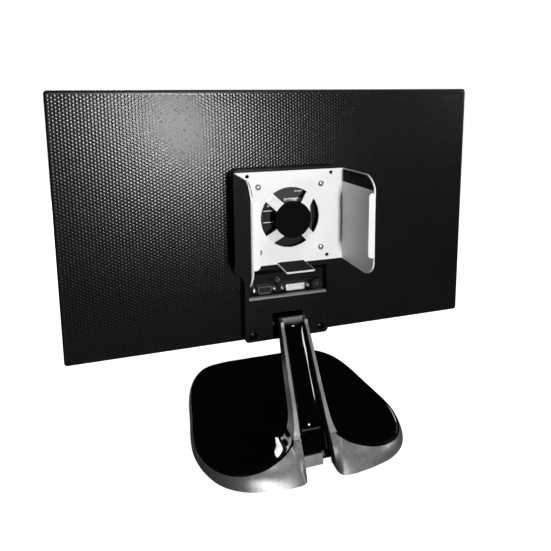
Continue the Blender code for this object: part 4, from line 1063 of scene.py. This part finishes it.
def base_dish():
    """The glossy bowl: rim, a narrow lip, a round fall to the flat floor."""
    rim = smooth_row([point for _, point, _ in BASE] + [NECK_BAY[0][0]], BASE_STEPS)
    floor = smooth_row([(x, y, DISH_FLOOR) for _, _, (x, y) in BASE]
                       + [(*NECK_BAY[0][1], DISH_FLOOR)], BASE_STEPS)
    rim.append(Vector(NECK_BAY[1][0]))
    floor.append(Vector((*NECK_BAY[1][1], DISH_FLOOR)))
    turns = 10
    rows = []
    for step in range(-1, turns + 1):
        row = []
        for edge, flat in zip(rim, floor):
            inward = Vector((flat.x - edge.x, flat.y - edge.y, 0))
            lip = edge + inward.normalized() * 2.4
            if step < 0:
                row.append(edge)
                continue
            turn = math.radians(90) * step / turns
            row.append(Vector((lip.x + (flat.x - lip.x) * (1 - math.cos(turn)),
                               lip.y + (flat.y - lip.y) * (1 - math.cos(turn)),
                               flat.z + (lip.z - flat.z) * (1 - math.sin(turn)))))
        left = [Vector((-p.x, p.y, p.z)) for p in reversed(row[1:-1])]
        rows.append(row + left)
    mesh = loft(rows, caps=(False, True))
    if max(mesh.polygons, key=lambda face: face.area).normal.z < 0:
        mesh.flip_normals()
    piece("base_tray", walled(mesh, DISH_WALL), "stand", "piano_black",
          ("base_dish",), 38, False)


def base_small_parts():
    low, high = edges_of("base_rear_block")
    slope = rounded(((102.0, 1.4, 0.6), (104.4, 1.4, 0.6), (101.2, 12.0, 0.5), (98.8, 12.0, 0.5)),
                    3)
    mesh = shaped(prism((slope,), "YZ", low.x, high.x), round_by=0.3)
    piece("notch_block", mesh, "stand", "silver_paint", ("base_rear_block",))
    low, high = edges_of("root_cover")
    wall = ((96.8, 12.6), (98.8, 12.6), (89.8, SEAM_Z - 0.6), (87.8, SEAM_Z - 0.6))
    mesh = shaped(prism((wall,), "YZ", low.x, high.x), round_by=0.3)
    piece("notch_cover", mesh, "stand", "piano_black", ("root_cover",))
    for number in (1, 2, 3, 4):
        name = "base_foot_%d" % number
        low, high = edges_of(name)
        at = (low + high) / 2
        radius = (high.x - low.x) / 2
        foot = turned([(0, high.z), (radius, high.z), (radius, low.z + 0.4),
                       (radius - 0.4, low.z), (0, low.z)], (at.x, at.y, 0), "Z")
        piece("rubber_foot_%d" % number, foot, "stand", "rubber", (name,))


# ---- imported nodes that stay
KEPT_FINISH = {
    "screen": ("lcd_panel",), "acrylic": ("light_guide",), "lens": ("power_led_lens",),
    "zinc_plate": ("panel_chassis", "board_shield"), "label_grey": ("rating_label",),
    "board_green": ("main_board", "led_driver_board", "key_board"),
    "dark_steel": ("hinge_bracket", "hinge_shaft", "hinge_carrier", "hinge_washer_",
                   "hinge_nut_", "base_plate", "stand_bolt_"),
    "bright_steel": ("cradle_spacer_",), "foam_black": ("cradle_liner_",),
    "satin_black": ("osd_key_", "power_key"),
}


def finish_packed_nodes():
    for name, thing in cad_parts.items():
        for finish, starts in KEPT_FINISH.items():
            if name.startswith(starts):
                thing.data.materials.clear()
                thing.data.materials.append(MATERIALS[finish])


# ---- studio
CAMERA_PLACE = Vector((0.1737, 0.5142, 0.3715))
CAMERA_AIM = Vector((0.0308, 0.0, 0.2970))
CAMERA_ROLL = math.radians(-0.91)
CAMERA_LENS = 30.56
CAMERA_SHIFT = (0.03, -0.18)


def aimed(name, data, place, aim, roll=0.0):
    """A camera or light at a place, looking at another."""
    holder = linked(name, data)
    turn = (Vector(aim) - Vector(place)).to_track_quat("-Z", "Y").to_matrix().to_4x4()
    holder.matrix_world = Matrix.Translation(place) @ turn @ Matrix.Rotation(roll, 4, "Z")
    return holder


def camera():
    data = bpy.data.cameras.new("camera")
    data.lens = CAMERA_LENS
    data.shift_x, data.shift_y = CAMERA_SHIFT
    data.clip_end = 50
    bpy.context.scene.camera = aimed("camera", data, CAMERA_PLACE, CAMERA_AIM, CAMERA_ROLL)


def soft_light(name, place, aim, size, power):
    data = bpy.data.lights.new(name, "AREA")
    data.shape = "RECTANGLE"
    data.size, data.size_y = size
    data.energy = power
    aimed(name, data, place, aim)


FLOOR_HALF, FLOOR_DROP = 15.0, 0.0004
BACKDROP, FILL = 1.0, 0.010      # the world as the camera sees it, and as a light


def studio():
    mesh = bpy.data.meshes.new("floor")
    mesh.from_pydata([(x * FLOOR_HALF, y * FLOOR_HALF, 0)
                      for x, y in ((-1, -1), (1, -1), (1, 1), (-1, 1))], [], [(0, 1, 2, 3)])
    floor = linked("floor", mesh)
    floor.location.z = -FLOOR_DROP
    nodes = Nodes("studio_floor")
    nodes.set(Base_Color=nodes.ramp(nodes.noise(3, 2), 0.3, 0.7, (0.90, 0.90, 0.90),
                                    (0.93, 0.93, 0.93)))
    nodes.set(Roughness=0.9, Specular_IOR_Level=0.1, Emission_Strength=0.85)
    nodes.set(Emission_Color=(1, 1, 1, 1))
    mesh.materials.append(nodes.material)
    floor.visible_diffuse = False
    floor.visible_glossy = False

    world = bpy.data.worlds.new("studio")
    bpy.context.scene.world = world
    world.use_nodes = True
    tree = world.node_tree
    background = tree.nodes["Background"]
    background.inputs["Color"].default_value = (1, 1, 1, 1)
    path = tree.nodes.new("ShaderNodeLightPath")
    spread = tree.nodes.new("ShaderNodeMapRange")
    spread.inputs["To Min"].default_value = FILL
    spread.inputs["To Max"].default_value = BACKDROP
    tree.links.new(path.outputs["Is Camera Ray"], spread.inputs["Value"])
    tree.links.new(spread.outputs["Result"], background.inputs["Strength"])

    overhead = bpy.data.lights.new("overhead", "SUN")
    overhead.energy = 0.6
    overhead.angle = math.radians(8)
    aimed("overhead", overhead, (0, 0, 0), (0.25, -0.35, -1))
    soft_light("front_box", (0.005, 1.70, 0.42), (0.03, 0, 0.28), (0.11, 0.36), 25)
    soft_light("right_box", (-1.35, 0.60, 0.62), (0, 0.06, 0.08), (0.45, 0.22), 5.5)
    soft_light("screen_box", (0.5, -1.6, 0.6), (0, 0, 0.22), (0.9, 0.6), 20)
    bpy.context.scene.view_settings.view_transform = "Standard"
    bpy.context.scene.view_settings.look = "None"


# ---- assembly
for make in (make_materials, rear_cover_rim, rear_cover_texture, front_bezel, centre_housing,
             hinge_cover, housing_screws, label_print, vga_socket, dvi_socket, jack_posts,
             audio_socket, power_socket, port_sill_painted_highlight, cradle_sheet, cradle_fittings, neck_shell,
             neck_cover, base_shell, base_dish, base_small_parts, finish_packed_nodes, camera,
             studio):
    make()
